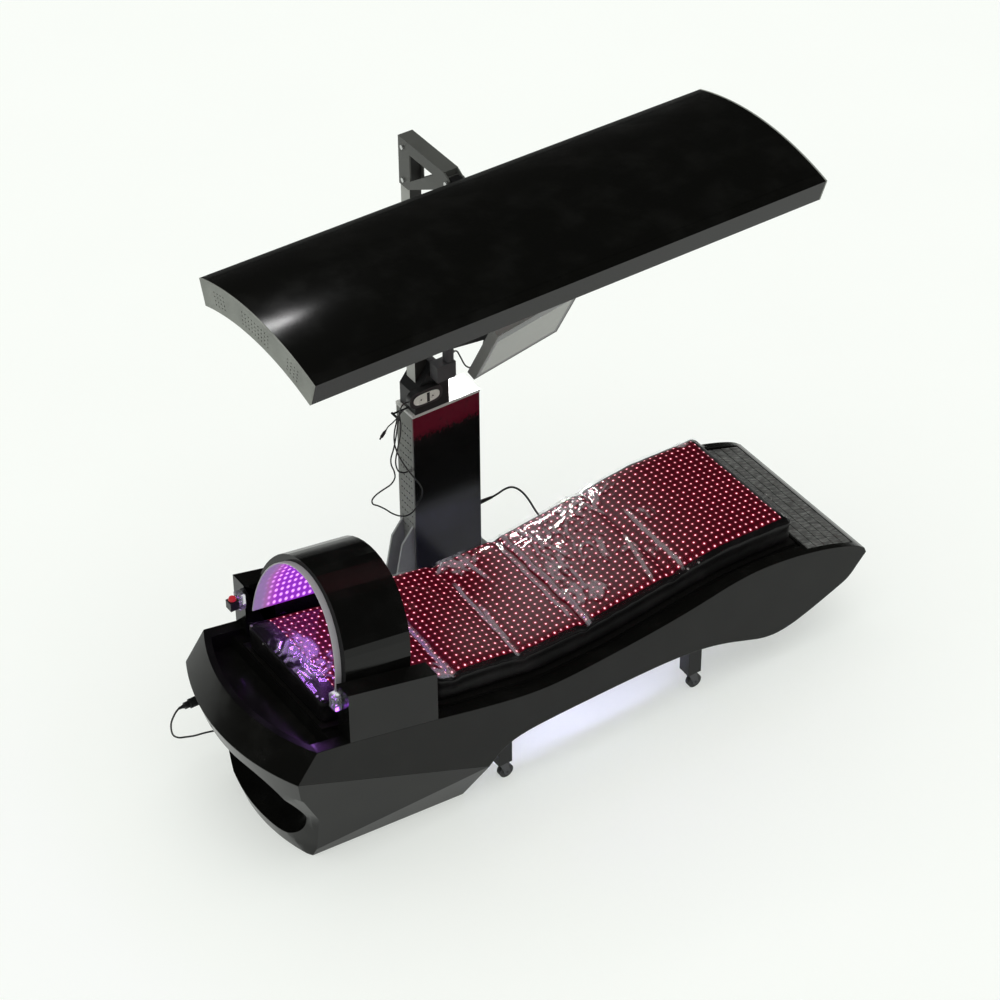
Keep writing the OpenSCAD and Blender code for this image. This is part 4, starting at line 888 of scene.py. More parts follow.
class Shape:
    """A mesh in the making: points and faces, in metres."""

    crisp_deg: float = 35.0

    def __init__(self) -> None:
        """Starts with no points."""
        self.points: list[Vector] = []
        self.faces: list[tuple[int, ...]] = []

    def add(self, points: Sequence[Vector], faces: Sequence[tuple[int, ...]]) -> None:
        """Adds points and the faces between them.

        Args:
            points: The points.
            faces: The faces, which count the points from 0.
        """
        start = len(self.points)
        self.points.extend(Vector(p) for p in points)
        self.faces.extend(tuple(start + i for i in face) for face in faces)

    def rings(self, rings: Sequence[Sequence[Vector]], closed_ends: bool = True) -> None:
        """Skins a row of rings with the same number of points.

        Args:
            rings: The rings, in order.
            closed_ends: Whether the first and the last ring are filled.
        """
        size = len(rings[0])
        faces = [(k * size + i, k * size + (i + 1) % size,
                  (k + 1) * size + (i + 1) % size, (k + 1) * size + i)
                 for k in range(len(rings) - 1) for i in range(size)]
        if closed_ends:
            last = (len(rings) - 1) * size
            faces += [tuple(reversed(range(size))), tuple(last + i for i in range(size))]
        self.add([p for ring in rings for p in ring], faces)

    def lathe(self, profile: Sequence[tuple[float, float]], place: Matrix, sides: int = 28) -> None:
        """Turns a profile of (radius, height) pairs about the local Z axis of a place."""
        self.rings([[place @ Vector((r * math.cos(a), r * math.sin(a), h)) for a in angles(sides)]
                    for r, h in profile])

    def tube(self, track: Track, radius: float, sides: int = 8, loop: bool = False) -> None:
        """A round tube along a track.

        Args:
            track: The points of its middle line.
            radius: Its radius.
            sides: Its number of sides.
            loop: Whether it closes on itself.
        """
        count = len(track)
        side = Vector((0.31, 0.27, 0.91))
        rings = []
        for i, point in enumerate(track):
            ahead = track[(i + 1) % count] if loop else track[min(i + 1, count - 1)]
            behind = track[i - 1] if loop or i else track[0]
            way = (ahead - behind).normalized()
            side = (side - way * side.dot(way)).normalized()
            other = way.cross(side)
            rings.append([point + (side * math.cos(a) + other * math.sin(a)) * radius
                          for a in angles(sides)])
        self.rings(rings + rings[:1] if loop else rings, closed_ends=not loop)

    def grid(self, rows: Sequence[Sequence[Vector]]) -> None:
        """An open surface through rows of points.

        Args:
            rows: The rows, all with as many points.
        """
        wide = len(rows[0])
        self.add([p for row in rows for p in row],
                 [(k * wide + i, (k + 1) * wide + i, (k + 1) * wide + i + 1, k * wide + i + 1)
                  for k in range(len(rows) - 1) for i in range(wide - 1)])

    def mesh(self, name: str) -> bpy.types.Mesh:
        """The finished mesh, smooth.

        Args:
            name: Its name.

        Returns:
            The mesh.
        """
        made = bpy.data.meshes.new(name)
        made.from_pydata([tuple(p) for p in self.points], [], self.faces)
        made.polygons.foreach_set("use_smooth", [True] * len(made.polygons))
        made.update()
        return made

    def piece(self, name: str, finish: Finish, body: Body,
              crisp: bool = False) -> bpy.types.Object:
        """Makes a piece of the object.

        Args:
            name: Its name.
            finish: Its surface.
            body: The body that it rides on.
            crisp: Whether its edges stay sharp.

        Returns:
            The piece.
        """
        made = bpy.data.objects.new(name, self.mesh(name))
        if crisp:
            made.data.set_sharp_from_angle(angle=math.radians(self.crisp_deg))
        return dress(made, finish, body)


def dress(made: bpy.types.Object, finish: Finish, body: Body) -> bpy.types.Object:
    """Puts a new object into the scene.

    Args:
        made: The object.
        finish: Its surface.
        body: The body that it rides on.

    Returns:
        The object.
    """
    if made.name not in bpy.context.scene.collection.objects:
        bpy.context.scene.collection.objects.link(made)
    made.data.materials.clear()
    made.data.materials.append(finish.material())
    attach(made, body.value)
    log.info("piece %s on %s", made.name, body.value)
    return made


def turned(at: Sequence[float], towards: Point) -> Matrix:
    """A place whose Z axis points along a direction."""
    return Matrix.Translation(Vector(at)) @ Vector(towards).to_track_quat("Z", "X").to_matrix().to_4x4()


@dataclass(frozen=True)
class Lamp:
    """An oval studio lamp, its width along X.

    Attributes:
        name: Its name.
        at: Its place.
        towards: The point that it shines at.
        energy: Its power.
        size: Its width and height.
        mirrored: Whether it only shows in reflections, and otherwise only lights.
        colour: Its colour.
        body: The body that it moves with.
        spread: The angle of its beam in degrees.
    """

    name: str
    at: Point
    towards: Point
    energy: float
    size: tuple[float, float]
    mirrored: bool
    colour: Colour = (1.0, 1.0, 1.0)
    body: Body | None = None
    spread: float = 180.0

    def build(self) -> None:
        """Makes the lamp."""
        data = bpy.data.lights.new(self.name, "AREA")
        data.energy = self.energy
        data.color = self.colour
        data.shape = "ELLIPSE"
        data.size, data.size_y = self.size
        data.spread = math.radians(self.spread)
        made = bpy.data.objects.new(self.name, data)
        back = (Vector(self.at) - Vector(self.towards)).normalized()
        side = (Vector((1, 0, 0)) - back * back.x).normalized()
        turn = Matrix((side, back.cross(side), back)).transposed().to_4x4()
        made.matrix_world = Matrix.Translation(self.at) @ turn
        made.visible_camera = False
        made.visible_glossy = self.mirrored
        made.visible_diffuse = not self.mirrored
        bpy.context.scene.collection.objects.link(made)
        if self.body:
            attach(made, self.body.value)
        log.info("lamp %s", self.name)


@dataclass
class Studio:
    """Pale floor, soft light and the camera at the photograph's place."""

    eye: Point = (-4.29121355, -6.22507279, 6.94471295)
    azimuth: float = -33.8
    elevation: float = 39.1
    roll: float = -0.5
    lens: float = 113.4
    sensor: float = 36.0
    reach: float = 100.0
    floor_radius: float = 34.0
    floor_sides: int = 96
    floor_height: float = -0.0004
    floor_lit: tuple[Colour, Colour] = ((0.865, 0.885, 0.858), (0.905, 0.92, 0.895))
    floor_seen: tuple[Colour, Colour] = ((0.53, 0.54, 0.525), (0.55, 0.56, 0.545))
    backdrop: Colour = (0.452, 0.466, 0.446)
    sky_colour: Colour = (0.975, 1.0, 0.97)
    sky_seen: float = 0.95
    horizon: float = 0.16
    zenith: float = 0.020
    fill: float = 0.60
    sun: float = 1.12
    sun_width_deg: float = 70.0
    sun_way: Point = (0.15, 0.35, -5.0)
    lamps: tuple[Lamp, ...] = (
        Lamp("streak_box", (-0.40, 0.94, 2.95), (-0.94, -0.064, 1.878), 4.6, (0.40, 0.12), True),
        Lamp("film_box", (0.45, 1.10, 1.15), (0.15, 0.08, 0.48), 5.0, (0.30, 0.13), True, spread=44),
        Lamp("dome_glow", (-0.735, 0.10, 0.83), (-0.80, -0.02, 0.57), 1.6, (0.16, 0.14), True,
             (0.55, 0.22, 1.0), Body.DOME),
        Lamp("dome_wash", (-0.735, 0.02, 0.86), (-0.76, 0.0, 0.56), 1.2, (0.20, 0.20), False,
             (0.42, 0.07, 1.0), Body.DOME))

    def camera(self) -> None:
        """Makes the camera."""
        azimuth, elevation, roll = (math.radians(v) for v in (self.azimuth, self.elevation, self.roll))
        back = Vector((math.sin(azimuth) * math.cos(elevation),
                       -math.cos(azimuth) * math.cos(elevation), math.sin(elevation)))
        level = Vector((math.cos(azimuth), math.sin(azimuth), 0.0))
        above = back.cross(level)
        right = level * math.cos(roll) + above * math.sin(roll)
        up = above * math.cos(roll) - level * math.sin(roll)
        data = bpy.data.cameras.new("photo_camera")
        data.lens = self.lens
        data.sensor_width = self.sensor
        data.clip_end = self.reach
        made = bpy.data.objects.new("photo_camera", data)
        made.matrix_world = Matrix((
            (right.x, up.x, back.x, self.eye[0]), (right.y, up.y, back.y, self.eye[1]),
            (right.z, up.z, back.z, self.eye[2]), (0, 0, 0, 1)))
        bpy.context.scene.collection.objects.link(made)
        bpy.context.scene.camera = made

    def floor(self) -> None:
        """Makes the floor."""
        rim = [Vector((self.floor_radius * math.cos(a), self.floor_radius * math.sin(a), self.floor_height))
               for a in angles(self.floor_sides)]
        shape = Shape()
        shape.add(rim, [tuple(range(self.floor_sides))])
        made = bpy.data.objects.new("studio_floor", shape.mesh("studio_floor"))
        sheet = NodeSheet(bpy.data.materials.new("studio_floor"))
        rays = sheet.node("ShaderNodeLightPath").socket.node.outputs
        seen = Value(sheet, rays["Is Camera Ray"]) + Value(sheet, rays["Is Glossy Ray"])
        seen = (seen + Value(sheet, rays["Is Transmission Ray"])).rise(0.0, 1.0)
        cloud = sheet.noise(1.4, 2.0)
        lit = sheet.mixed(cloud, *self.floor_lit)
        dim = sheet.mixed(cloud, *self.floor_seen)
        lift = sheet.scaled(self.backdrop, seen)
        made.data.materials.append(sheet.close(sheet.surface(
            Base_Color=sheet.mixed(seen, lit, dim), Roughness=0.8, Specular_IOR_Level=0.1,
            Emission_Color=lift, Emission_Strength=1.0)))
        bpy.context.scene.collection.objects.link(made)

    def sky(self) -> None:
        """Lights the world: pale to the camera, white at the horizon and dim above in reflections."""
        world = bpy.data.worlds.new("studio_sky")
        bpy.context.scene.world = world
        sheet = NodeSheet(world, "Generated")
        _, _, height = sheet.axes()
        rays = sheet.node("ShaderNodeLightPath").socket.node.outputs
        seen = Value(sheet, rays["Is Camera Ray"])
        gloss = Value(sheet, rays["Is Glossy Ray"])
        band = height.rise(0.12, 0.0) * self.horizon + self.zenith
        level = seen * self.sky_seen + (1.0 - seen) * (gloss * band + (1.0 - gloss) * self.fill)
        sheet.close(sheet.node("ShaderNodeBackground", inputs={
            "Color": (*self.sky_colour, 1), "Strength": level}), "ShaderNodeOutputWorld")

    def ceiling(self) -> None:
        """Makes the broad, soft light from above."""
        data = bpy.data.lights.new("ceiling_light", "SUN")
        data.energy = self.sun
        data.angle = math.radians(self.sun_width_deg)
        made = bpy.data.objects.new("ceiling_light", data)
        made.matrix_world = Vector(self.sun_way).to_track_quat("-Z", "Y").to_matrix().to_4x4()
        made.visible_glossy = False
        bpy.context.scene.collection.objects.link(made)

    def build(self) -> None:
        """Makes everything but the camera."""
        self.floor()
        self.sky()
        self.ceiling()
        for lamp in self.lamps:
            lamp.build()
        log.info("studio built")


@dataclass
class Cord:
    """A cable along its route, which repeats the model's own points in millimetres."""

    name: str
    node: str
    body: Body
    diameter: float
    route: Sequence[Point]
    far_end: str = "object"
    stiffness: str = "medium"
    lay: str = "hanging"
    slot: str = "cord_black"
    steps: int = 4
    roundness: int = 3

    def track(self) -> Track:
        """Makes the smooth middle line through the route's points.

        Returns:
            The line, in metres.
        """
        points = [Vector(p) / 1000 for p in self.route]
        smooth = []
        for i in range(len(points) - 1):
            p0, p1, p2 = points[max(i - 1, 0)], points[i], points[i + 1]
            p3 = points[min(i + 2, len(points) - 1)]
            for k in range(self.steps):
                t = k / self.steps
                smooth.append(0.5 * (2 * p1 + (p2 - p0) * t + (2 * p0 - 5 * p1 + 4 * p2 - p3) * t * t
                                     + (3 * p1 - p0 - 3 * p2 + p3) * t ** 3))
        return [*smooth, points[-1]]

    def build(self, with_pieces: Sequence[bpy.types.Object] = ()) -> bpy.types.Object:
        """Args:
            with_pieces: Its plug or other pieces on it; not used.

        Returns:
            The cable.
        """
        track = self.track()
        curve = bpy.data.curves.new(self.name, "CURVE")
        curve.dimensions = "3D"
        curve.bevel_depth = self.diameter / 2
        curve.bevel_resolution = self.roundness
        curve.use_fill_caps = True
        line = curve.splines.new("POLY")
        line.points.add(len(track) - 1)
        line.points.foreach_set("co", [c for p in track for c in (*p, 1.0)])
        line.use_smooth = True
        made = dress(bpy.data.objects.new(self.name, curve), CORD_BLACK, self.body)
        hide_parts(self.node)
        length = sum((b - a).length for a, b in zip(track, track[1:]))
        return made


HANDSET_ROUTE = (
    (-112, 536, 892), (-124, 536, 893), (-138, 536, 884), (-148, 535, 856), (-156, 534, 816),
    (-165, 533, 770), (-175, 533, 730), (-184, 535, 698), (-182, 537, 668), (-172, 538, 638),
    (-170, 538, 610), (-186, 538, 590), (-214, 538, 582), (-240, 538, 574), (-258, 538, 560),
    (-256, 538, 541), (-236, 538, 524), (-210, 538, 498), (-186, 538, 470), (-158, 538, 446),
    (-130, 538, 434), (-104, 538, 440), (-86, 538, 464), (-70, 538, 490), (-68, 538, 516),
    (-78, 538, 544), (-96, 538, 576), (-116, 539, 612), (-136, 541, 654), (-154, 543, 700),
    (-163, 545, 746), (-161, 546, 786), (-151, 548, 820), (-146, 552, 831), (-140, 556, 834),
    (-134, 560, 831), (-129, 563, 820), (-124, 566, 786), (-127, 568, 740), (-138, 570, 688),
    (-145, 571, 640), (-136, 571, 601), (-114, 570, 585), (-96, 570, 584))
LEAD_ROUTE = ((-86, 570, 842), (-98, 570, 842), (-116, 570, 834), (-134, 570, 817), (-152, 571, 804),
              (-167, 571, 797), (-177, 571, 786))
BED_ROUTE = ((232, 575, 322), (252, 572, 329), (272, 562, 345), (293, 550, 352), (313, 532, 341),
             (326, 505, 318), (330, 465, 290), (330, 420, 278), (330, 380, 276), (330, 342, 276))
HEAD_ROUTE = ((-1140, 275, 312), (-1154, 275, 300), (-1168, 278, 270), (-1171, 281, 240), (-1162, 290, 199),
              (-1139, 301, 167), (-1110, 311, 146), (-1070, 325, 120), (-1026, 340, 97), (-985, 332, 91),
              (-964, 306, 90), (-960, 284, 90), (-960, 268, 90))
SCREEN_ROUTE = ((56, 524, 1030), (68, 523, 1024), (80, 521, 996), (94, 518, 962), (112, 514, 948),
                (132, 510, 962), (148, 507, 998), (158, 505, 1036), (160, 505, 1050))


@dataclass
class CordSet:
    """All free cables with their plug, connector and strain relief.

    The profiles are (radius, height) pairs along the cable, and the collar's are (height, swell).
    """

    plug_lean_deg: float = 222.0
    plug_profile: tuple[tuple[float, float], ...] = (
        (0.0021, -0.001), (0.0032, 0.0), (0.0034, 0.003), (0.0029, 0.004), (0.0040, 0.005),
        (0.0035, 0.006), (0.0049, 0.0075), (0.0052, 0.010), (0.0052, 0.0255), (0.0046, 0.0275),
        (0.0029, 0.0280), (0.0029, 0.0355), (0.0022, 0.0362))
    neck_profile: tuple[tuple[float, float], ...] = (
        (0.0030, -0.001), (0.0042, 0.0), (0.0047, 0.005), (0.0042, 0.006), (0.0054, 0.008),
        (0.0049, 0.009), (0.0062, 0.012), (0.0070, 0.017), (0.0106, 0.018), (0.0112, 0.020),
        (0.0112, 0.034), (0.0098, 0.036))
    collar: tuple[tuple[float, float], ...] = (
        (0.0355, 0.0), (0.0365, 1.0), (0.0445, 1.0), (0.0455, 0.0), (0.0465, 0.0), (0.0475, 1.0))
    collar_radius: float = 0.0140
    collar_swell: float = 0.0008
    knurl: float = 0.0007
    knurl_sides: int = 72
    socket_x: float = -1.0742
    relief_x: float = 0.1682
    relief_foot: tuple[tuple[float, float], ...] = (
        (0.0072, 0.0), (0.0092, 0.0006), (0.0092, 0.0072), (0.0076, 0.008))
    relief_ribs: int = 9
    relief_radius: float = 0.0078
    relief_taper: float = 0.0032
    relief_groove: float = 0.0011

    def plug(self) -> bpy.types.Object:
        """Makes the short lead's moulded plug.

        Returns:
            The plug.
        """
        at = Vector(LEAD_ROUTE[-1]) / 1000
        lean = math.radians(self.plug_lean_deg)
        shape = Shape()
        shape.lathe(self.plug_profile, turned(at, (math.sin(lean), 0.0, math.cos(lean))))
        return shape.piece("lead_plug", POD, Body.BED, crisp=True)

    def connector(self) -> bpy.types.Object:
        """Makes the threaded connector in the headboard end, with its knurled collar.

        Returns:
            The connector.
        """
        at = Vector(HEAD_ROUTE[0]) / 1000
        place = turned(at, (1, 0, 0))
        shape = Shape()
        shape.lathe(self.neck_profile, place)
        length = self.socket_x - at.x
        rings = []
        for height, swell in (*self.collar, (length - 0.001, 1.0), (length, 0.0)):
            radii = [self.collar_radius + swell * (self.collar_swell + self.knurl * (i % 2))
                     for i in range(self.knurl_sides)]
            rings.append([place @ Vector((r * math.cos(a), r * math.sin(a), height))
                          for a, r in zip(angles(self.knurl_sides), radii)])
        shape.rings(rings)
        return shape.piece("head_connector", POD, Body.BED, crisp=True)

    def relief(self) -> bpy.types.Object:
        """Makes the tapered, ribbed strain relief of the bed's cable on the column.

        Returns:
            The strain relief.
        """
        start = Vector((self.relief_x, BED_ROUTE[0][1] / 1000, BED_ROUTE[0][2] / 1000))
        length = BED_ROUTE[0][0] / 1000 - start.x
        profile = list(self.relief_foot)
        step = (length - 0.010) / self.relief_ribs
        for i in range(self.relief_ribs):
            at = 0.009 + (length - 0.010) * i / self.relief_ribs
            wide = self.relief_radius - self.relief_taper * i / self.relief_ribs
            narrow = wide - self.relief_groove
            profile += [(wide, at), (wide, at + step * 0.55), (narrow, at + step * 0.62),
                        (narrow, at + step * 0.95)]
        shape = Shape()
        shape.lathe([*profile, (0.0036, length)], turned(start, (1, 0, 0)))
        return shape.piece("bed_cable_relief", POD, Body.BED, crisp=True)

    def build(self) -> None:
        """Makes every cable with its pieces."""
        plug, connector, relief = self.plug(), self.connector(), self.relief()
        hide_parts("cord_plugs")
        Cord("handset_cord", "handset_cable", Body.BED, 0.005, HANDSET_ROUTE).build()
        Cord("lead_cord", "lead_cable", Body.BED, 0.004, LEAD_ROUTE, far_end="plug").build([plug])
        Cord("bed_cord", "bed_cable", Body.BED, 0.007, BED_ROUTE).build([relief])
        Cord("head_cord", "head_cable", Body.BED, 0.006, HEAD_ROUTE).build([connector])
        Cord("screen_cord", "screen_cable", Body.ARM, 0.005, SCREEN_ROUTE).build()


@dataclass
class Mattress:
    """The wave-shaped pad with its welt, and the light mat on it.

    The profile gives the top's height along the bed, the waist where the pad widens from the
    pillow, and an end step the distance from the end and how far the section is pulled in.
    """

    head: float = -0.925
    foot: float = 0.840
    half: float = 0.275
    pillow_half: float = 0.226
    waist: tuple[float, float] = (-0.576, -0.520)
    thick: float = 0.100
    profile: tuple[tuple[float, float], ...] = (
        (-0.925, 0.603), (-0.500, 0.514), (-0.160, 0.457), (0.080, 0.465), (0.210, 0.480),
        (0.320, 0.498), (0.456, 0.516), (0.560, 0.525), (0.670, 0.523), (0.840, 0.518))
    folds: tuple[float, ...] = (-0.470, -0.220, 0.020, 0.360)
    fold_depth: float = 0.010
    fold_reach: float = 0.020
    crown: float = 0.005
    inset: float = 0.005
    end_steps: tuple[tuple[float, float], ...] = ((0.005, 0.020), (0.006, 0.011), (0.014, 0.006))
    end_length: float = 0.022
    ring_step: float = 0.010
    voxel: float = 0.008
    swell: float = 0.009
    pressure: float = 4.0
    stiffness: float = 25.0
    frames: int = 20
    ripple: float = 0.0022
    gather: float = 0.0030
    gather_reach: float = 0.045
    welt_radius: float = 0.0019
    welt_drop: float = 0.012
    mat_step: tuple[float, float] = (0.008, 0.009)
    mat_gaps: tuple[float, float] = (0.080, 0.042)
    mat_halves: tuple[float, float] = (0.211, 0.245)
    mat_lift: float = 0.0022
    mat_quilt: float = 0.0007
    mat_thick: float = 0.0016
    surface: BVHTree | None = field(default=None, init=False)

    def top(self, x: float) -> float:
        """Height of the pad's top.

        Args:
            x: The place along the bed.

        Returns:
            The height.
        """
        xs, zs = zip(*self.profile)
        ends = (self.head, *self.folds, self.foot)
        i = max(k for k in range(len(self.folds) + 1) if x >= ends[k] - 1e-6)
        a, b = ends[i], ends[i + 1]
        dip = max(max(0.0, 1 - ((x - f) / self.fold_reach) ** 2) for f in self.folds)
        rise = self.crown * (1 - ((2 * x - a - b) / (b - a)) ** 2)
        return float(np.interp(x, xs, zs)) - self.fold_depth * dip + rise

    def half_at(self, x: float, pillow: float, main: float) -> float:
        """Half of a layer's width at a place along the bed."""
        return float(np.interp(x, self.waist, (pillow, main)))

    def ring(self, x: float, inset: float) -> list[Vector]:
        """One section of the pad.

        Args:
            x: The place along the bed.
            inset: How far it is pulled in all round.

        Returns:
            The section's points.
        """
        wide = self.half_at(x, self.pillow_half, self.half) - inset
        top = self.top(x) - inset
        low = float(np.interp(x, *zip(*self.profile))) - self.thick + inset / 3
        mid = (top + low) / 2
        side = [(wide * 0.35, low), (wide * 0.7, low), (wide - 0.010, low), (wide - 0.002, low + 0.012),
                (wide - 0.005, mid - 0.015), (wide - 0.007, mid), (wide - 0.004, mid + 0.015),
                (wide, top - 0.018), (wide - 0.004, top - 0.006), (wide - 0.014, top - 0.001),
                (wide - 0.03, top), (wide * 0.7, top), (wide * 0.35, top)]
        far = [Vector((x, y, z)) for y, z in side]
        near = [Vector((x, -p.y, p.z)) for p in reversed(far)]
        return [Vector((x, 0, low)), *far, Vector((x, 0, top)), *near]

    def blank(self) -> bpy.types.Object:
        """Makes the pad as it is before it swells.

        Returns:
            The blank.
        """
        middle = np.arange(self.head + self.end_length, self.foot - self.end_length, self.ring_step)
        rings = [self.ring(self.head + step, inset) for step, inset in self.end_steps]
        rings += [self.ring(float(x), self.inset) for x in middle]
        rings += [self.ring(self.foot - step, inset) for step, inset in reversed(self.end_steps)]
        shape = Shape()
        shape.rings(rings)
        made = bpy.data.objects.new("pad_cover", shape.mesh("pad_cover"))
        bpy.context.scene.collection.objects.link(made)
        return made

    def settle(self, made: bpy.types.Object) -> None:
        """Remeshes the pad evenly and swells it as filled cloth.

        Args:
            made: The pad's blank.
        """
        bpy.context.view_layer.objects.active = made
        remesh = made.modifiers.new("even_mesh", "REMESH")
        remesh.mode = "VOXEL"
        remesh.voxel_size = self.voxel
        bpy.ops.object.modifier_apply(modifier=remesh.name)
        start = np.array([v.co for v in made.data.vertices])
        cloth = made.modifiers.new("filling", "CLOTH")
        cloth.settings.use_pressure = True
        cloth.settings.uniform_pressure_force = self.pressure
        cloth.settings.tension_stiffness = cloth.settings.compression_stiffness = self.stiffness
        cloth.settings.effector_weights.gravity = 0.0
        cloth.settings.quality = 4
        cloth.point_cache.frame_end = self.frames
        for step in range(1, self.frames + 1):
            bpy.context.scene.frame_set(step)
        shown = made.evaluated_get(bpy.context.evaluated_depsgraph_get())
        moved = np.array([v.co for v in shown.data.vertices])
        made.modifiers.remove(cloth)
        bpy.context.scene.frame_set(1)
        change = moved - start
        size = np.linalg.norm(change, axis=1, keepdims=True)
        change *= np.minimum(1.0, self.swell / np.maximum(size, 1e-9))
        made.data.vertices.foreach_set("co", (start + change).astype(np.float32).ravel())
        made.data.update()
        log.info("pad settled, largest move %.1f mm before its cap", float(size.max()) * 1000)

    def crease(self, made: bpy.types.Object) -> None:
        """Pulls gathers into the pad's sides beside each fold, and slow ripples elsewhere.

        Args:
            made: The pad.
        """
        for vertex in made.data.vertices:
            p = vertex.co
            wide = self.half_at(p.x, self.pillow_half, self.half)
            side = min(1.0, max(0.0, (abs(p.y) - wide + 0.03) / 0.025))
            end = min(1.0, max(0.0, (self.head + 0.05 - p.x) / 0.04))
            near = max(math.exp(-((p.x - f) / self.gather_reach) ** 2) for f in self.folds)
            ripple = noise.noise(Vector((p.x * 26, p.y * 4, p.z * 9))) * self.ripple * side
            gather = noise.noise(Vector((p.x * 75, 3.0, p.z * 14))) * self.gather * side * near
            pillow = noise.noise(Vector((p.x * 9, p.y * 13, p.z * 20))) * self.gather * end
            out = Vector((0.0, math.copysign(1.0, p.y), 0.0))
            vertex.co = p + out * (ripple + gather) + Vector((pillow, 0.0, 0.0))
        made.data.update()

    def lie(self, x: float, y: float, lift: float) -> Vector:
        """The point a lift above the pad's top at a place."""
        hit = self.surface.ray_cast(Vector((x, y, 1.2)), Vector((0, 0, -1)))[0]
        return Vector((x, y, (hit.z if hit else self.top(x)) + lift))

    def pad(self) -> bpy.types.Object:
        """Makes the pad.

        Returns:
            The pad.
        """
        made = self.blank()
        self.settle(made)
        self.crease(made)
        self.surface = BVHTree.FromPolygons([v.co.copy() for v in made.data.vertices],
                                            [tuple(p.vertices) for p in made.data.polygons])
        made.data.polygons.foreach_set("use_smooth", [True] * len(made.data.polygons))
        divide = made.modifiers.new("finer", "SUBSURF")
        divide.levels = divide.render_levels = 1
        dress(made, VINYL, Body.BED)
        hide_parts("mattress")
        return made

    def welt(self) -> bpy.types.Object:
        """Makes the sewn welt round the pad's top edge.

        Returns:
            The welt.
        """
        xs = np.arange(self.head + 0.020, self.foot - 0.012, 0.010)
        near = [Vector((x, -self.half_at(x, self.pillow_half, self.half) + 0.003,
                        self.top(x) - self.welt_drop)) for x in xs]
        far = [Vector((p.x, -p.y, p.z)) for p in reversed(near)]
        foot = [Vector((self.foot - 0.004, y, self.top(self.foot) - self.welt_drop))
                for y in np.linspace(-0.26, 0.26, 40)]
        head = [Vector((self.head + 0.004, y, self.top(self.head) - self.welt_drop))
                for y in np.linspace(0.21, -0.21, 34)]
        track = []
        for point in (*near, *foot, *far, *head):
            at, normal, *_ = self.surface.find_nearest(point)
            track.append(at + normal * 0.0004)
        shape = Shape()
        shape.tube(track, self.welt_radius, loop=True)
        return shape.piece("pad_welt", VINYL, Body.BED)

    def layer(self, step: tuple[float, float], ends: tuple[float, float], halves: tuple[float, float],
              lift: Callable[[float, float, float], float]) -> list[list[Vector]]:
        """Rows of points over the pad's top.

        Args:
            step: Distance between points along and across the bed.
            ends: First and last place along the bed.
            halves: Half widths beside the pillow and beyond it.
            lift: Height above the pad at a place and its share of the half width.

        Returns:
            The rows, from head to foot.
        """
        count = round(2 * halves[1] / step[1])
        rows = []
        for x in np.linspace(*ends, round((ends[1] - ends[0]) / step[0]) + 1):
            wide = self.half_at(float(x), *halves)
            rows.append([self.lie(float(x), float(s * wide), lift(float(x), float(s * wide), float(abs(s))))
                         for s in np.linspace(-1, 1, count + 1)])
        return rows

    def mat_height(self, x: float, y: float, share: float) -> float:
        """Height of the slightly quilted mat, with its turned-down edge.

        Args:
            x: The place along the bed.
            y: The place across it.
            share: The place's share of the half width.

        Returns:
            The height above the pad.
        """
        edge = 0.0014 * max(0.0, (share - 0.975) / 0.025)
        return self.mat_lift + self.mat_quilt * noise.noise(Vector((x * 18, y * 18, 0))) - edge

    def mat(self) -> bpy.types.Object:
        """Makes the light mat.

        Returns:
            The mat.
        """
        ends = (self.head + self.mat_gaps[0], self.foot - self.mat_gaps[1])
        shape = Shape()
        shape.grid(self.layer(self.mat_step, ends, self.mat_halves, self.mat_height))
        made = shape.piece("light_mat_sheet", MAT, Body.BED)
        thick = made.modifiers.new("thickness", "SOLIDIFY")
        thick.thickness = self.mat_thick
        thick.offset = -1.0
        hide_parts("light_mat")
        return made


def averaged(grid: np.ndarray) -> np.ndarray:
    """Blends each number of a grid with its four neighbours.

    Args:
        grid: The numbers.

    Returns:
        The blended numbers.
    """
    padded = np.pad(grid, 1, mode="edge")
    return (padded[:-2, 1:-1] + padded[2:, 1:-1] + padded[1:-1, :-2] + padded[1:-1, 2:] + 2 * grid) / 6


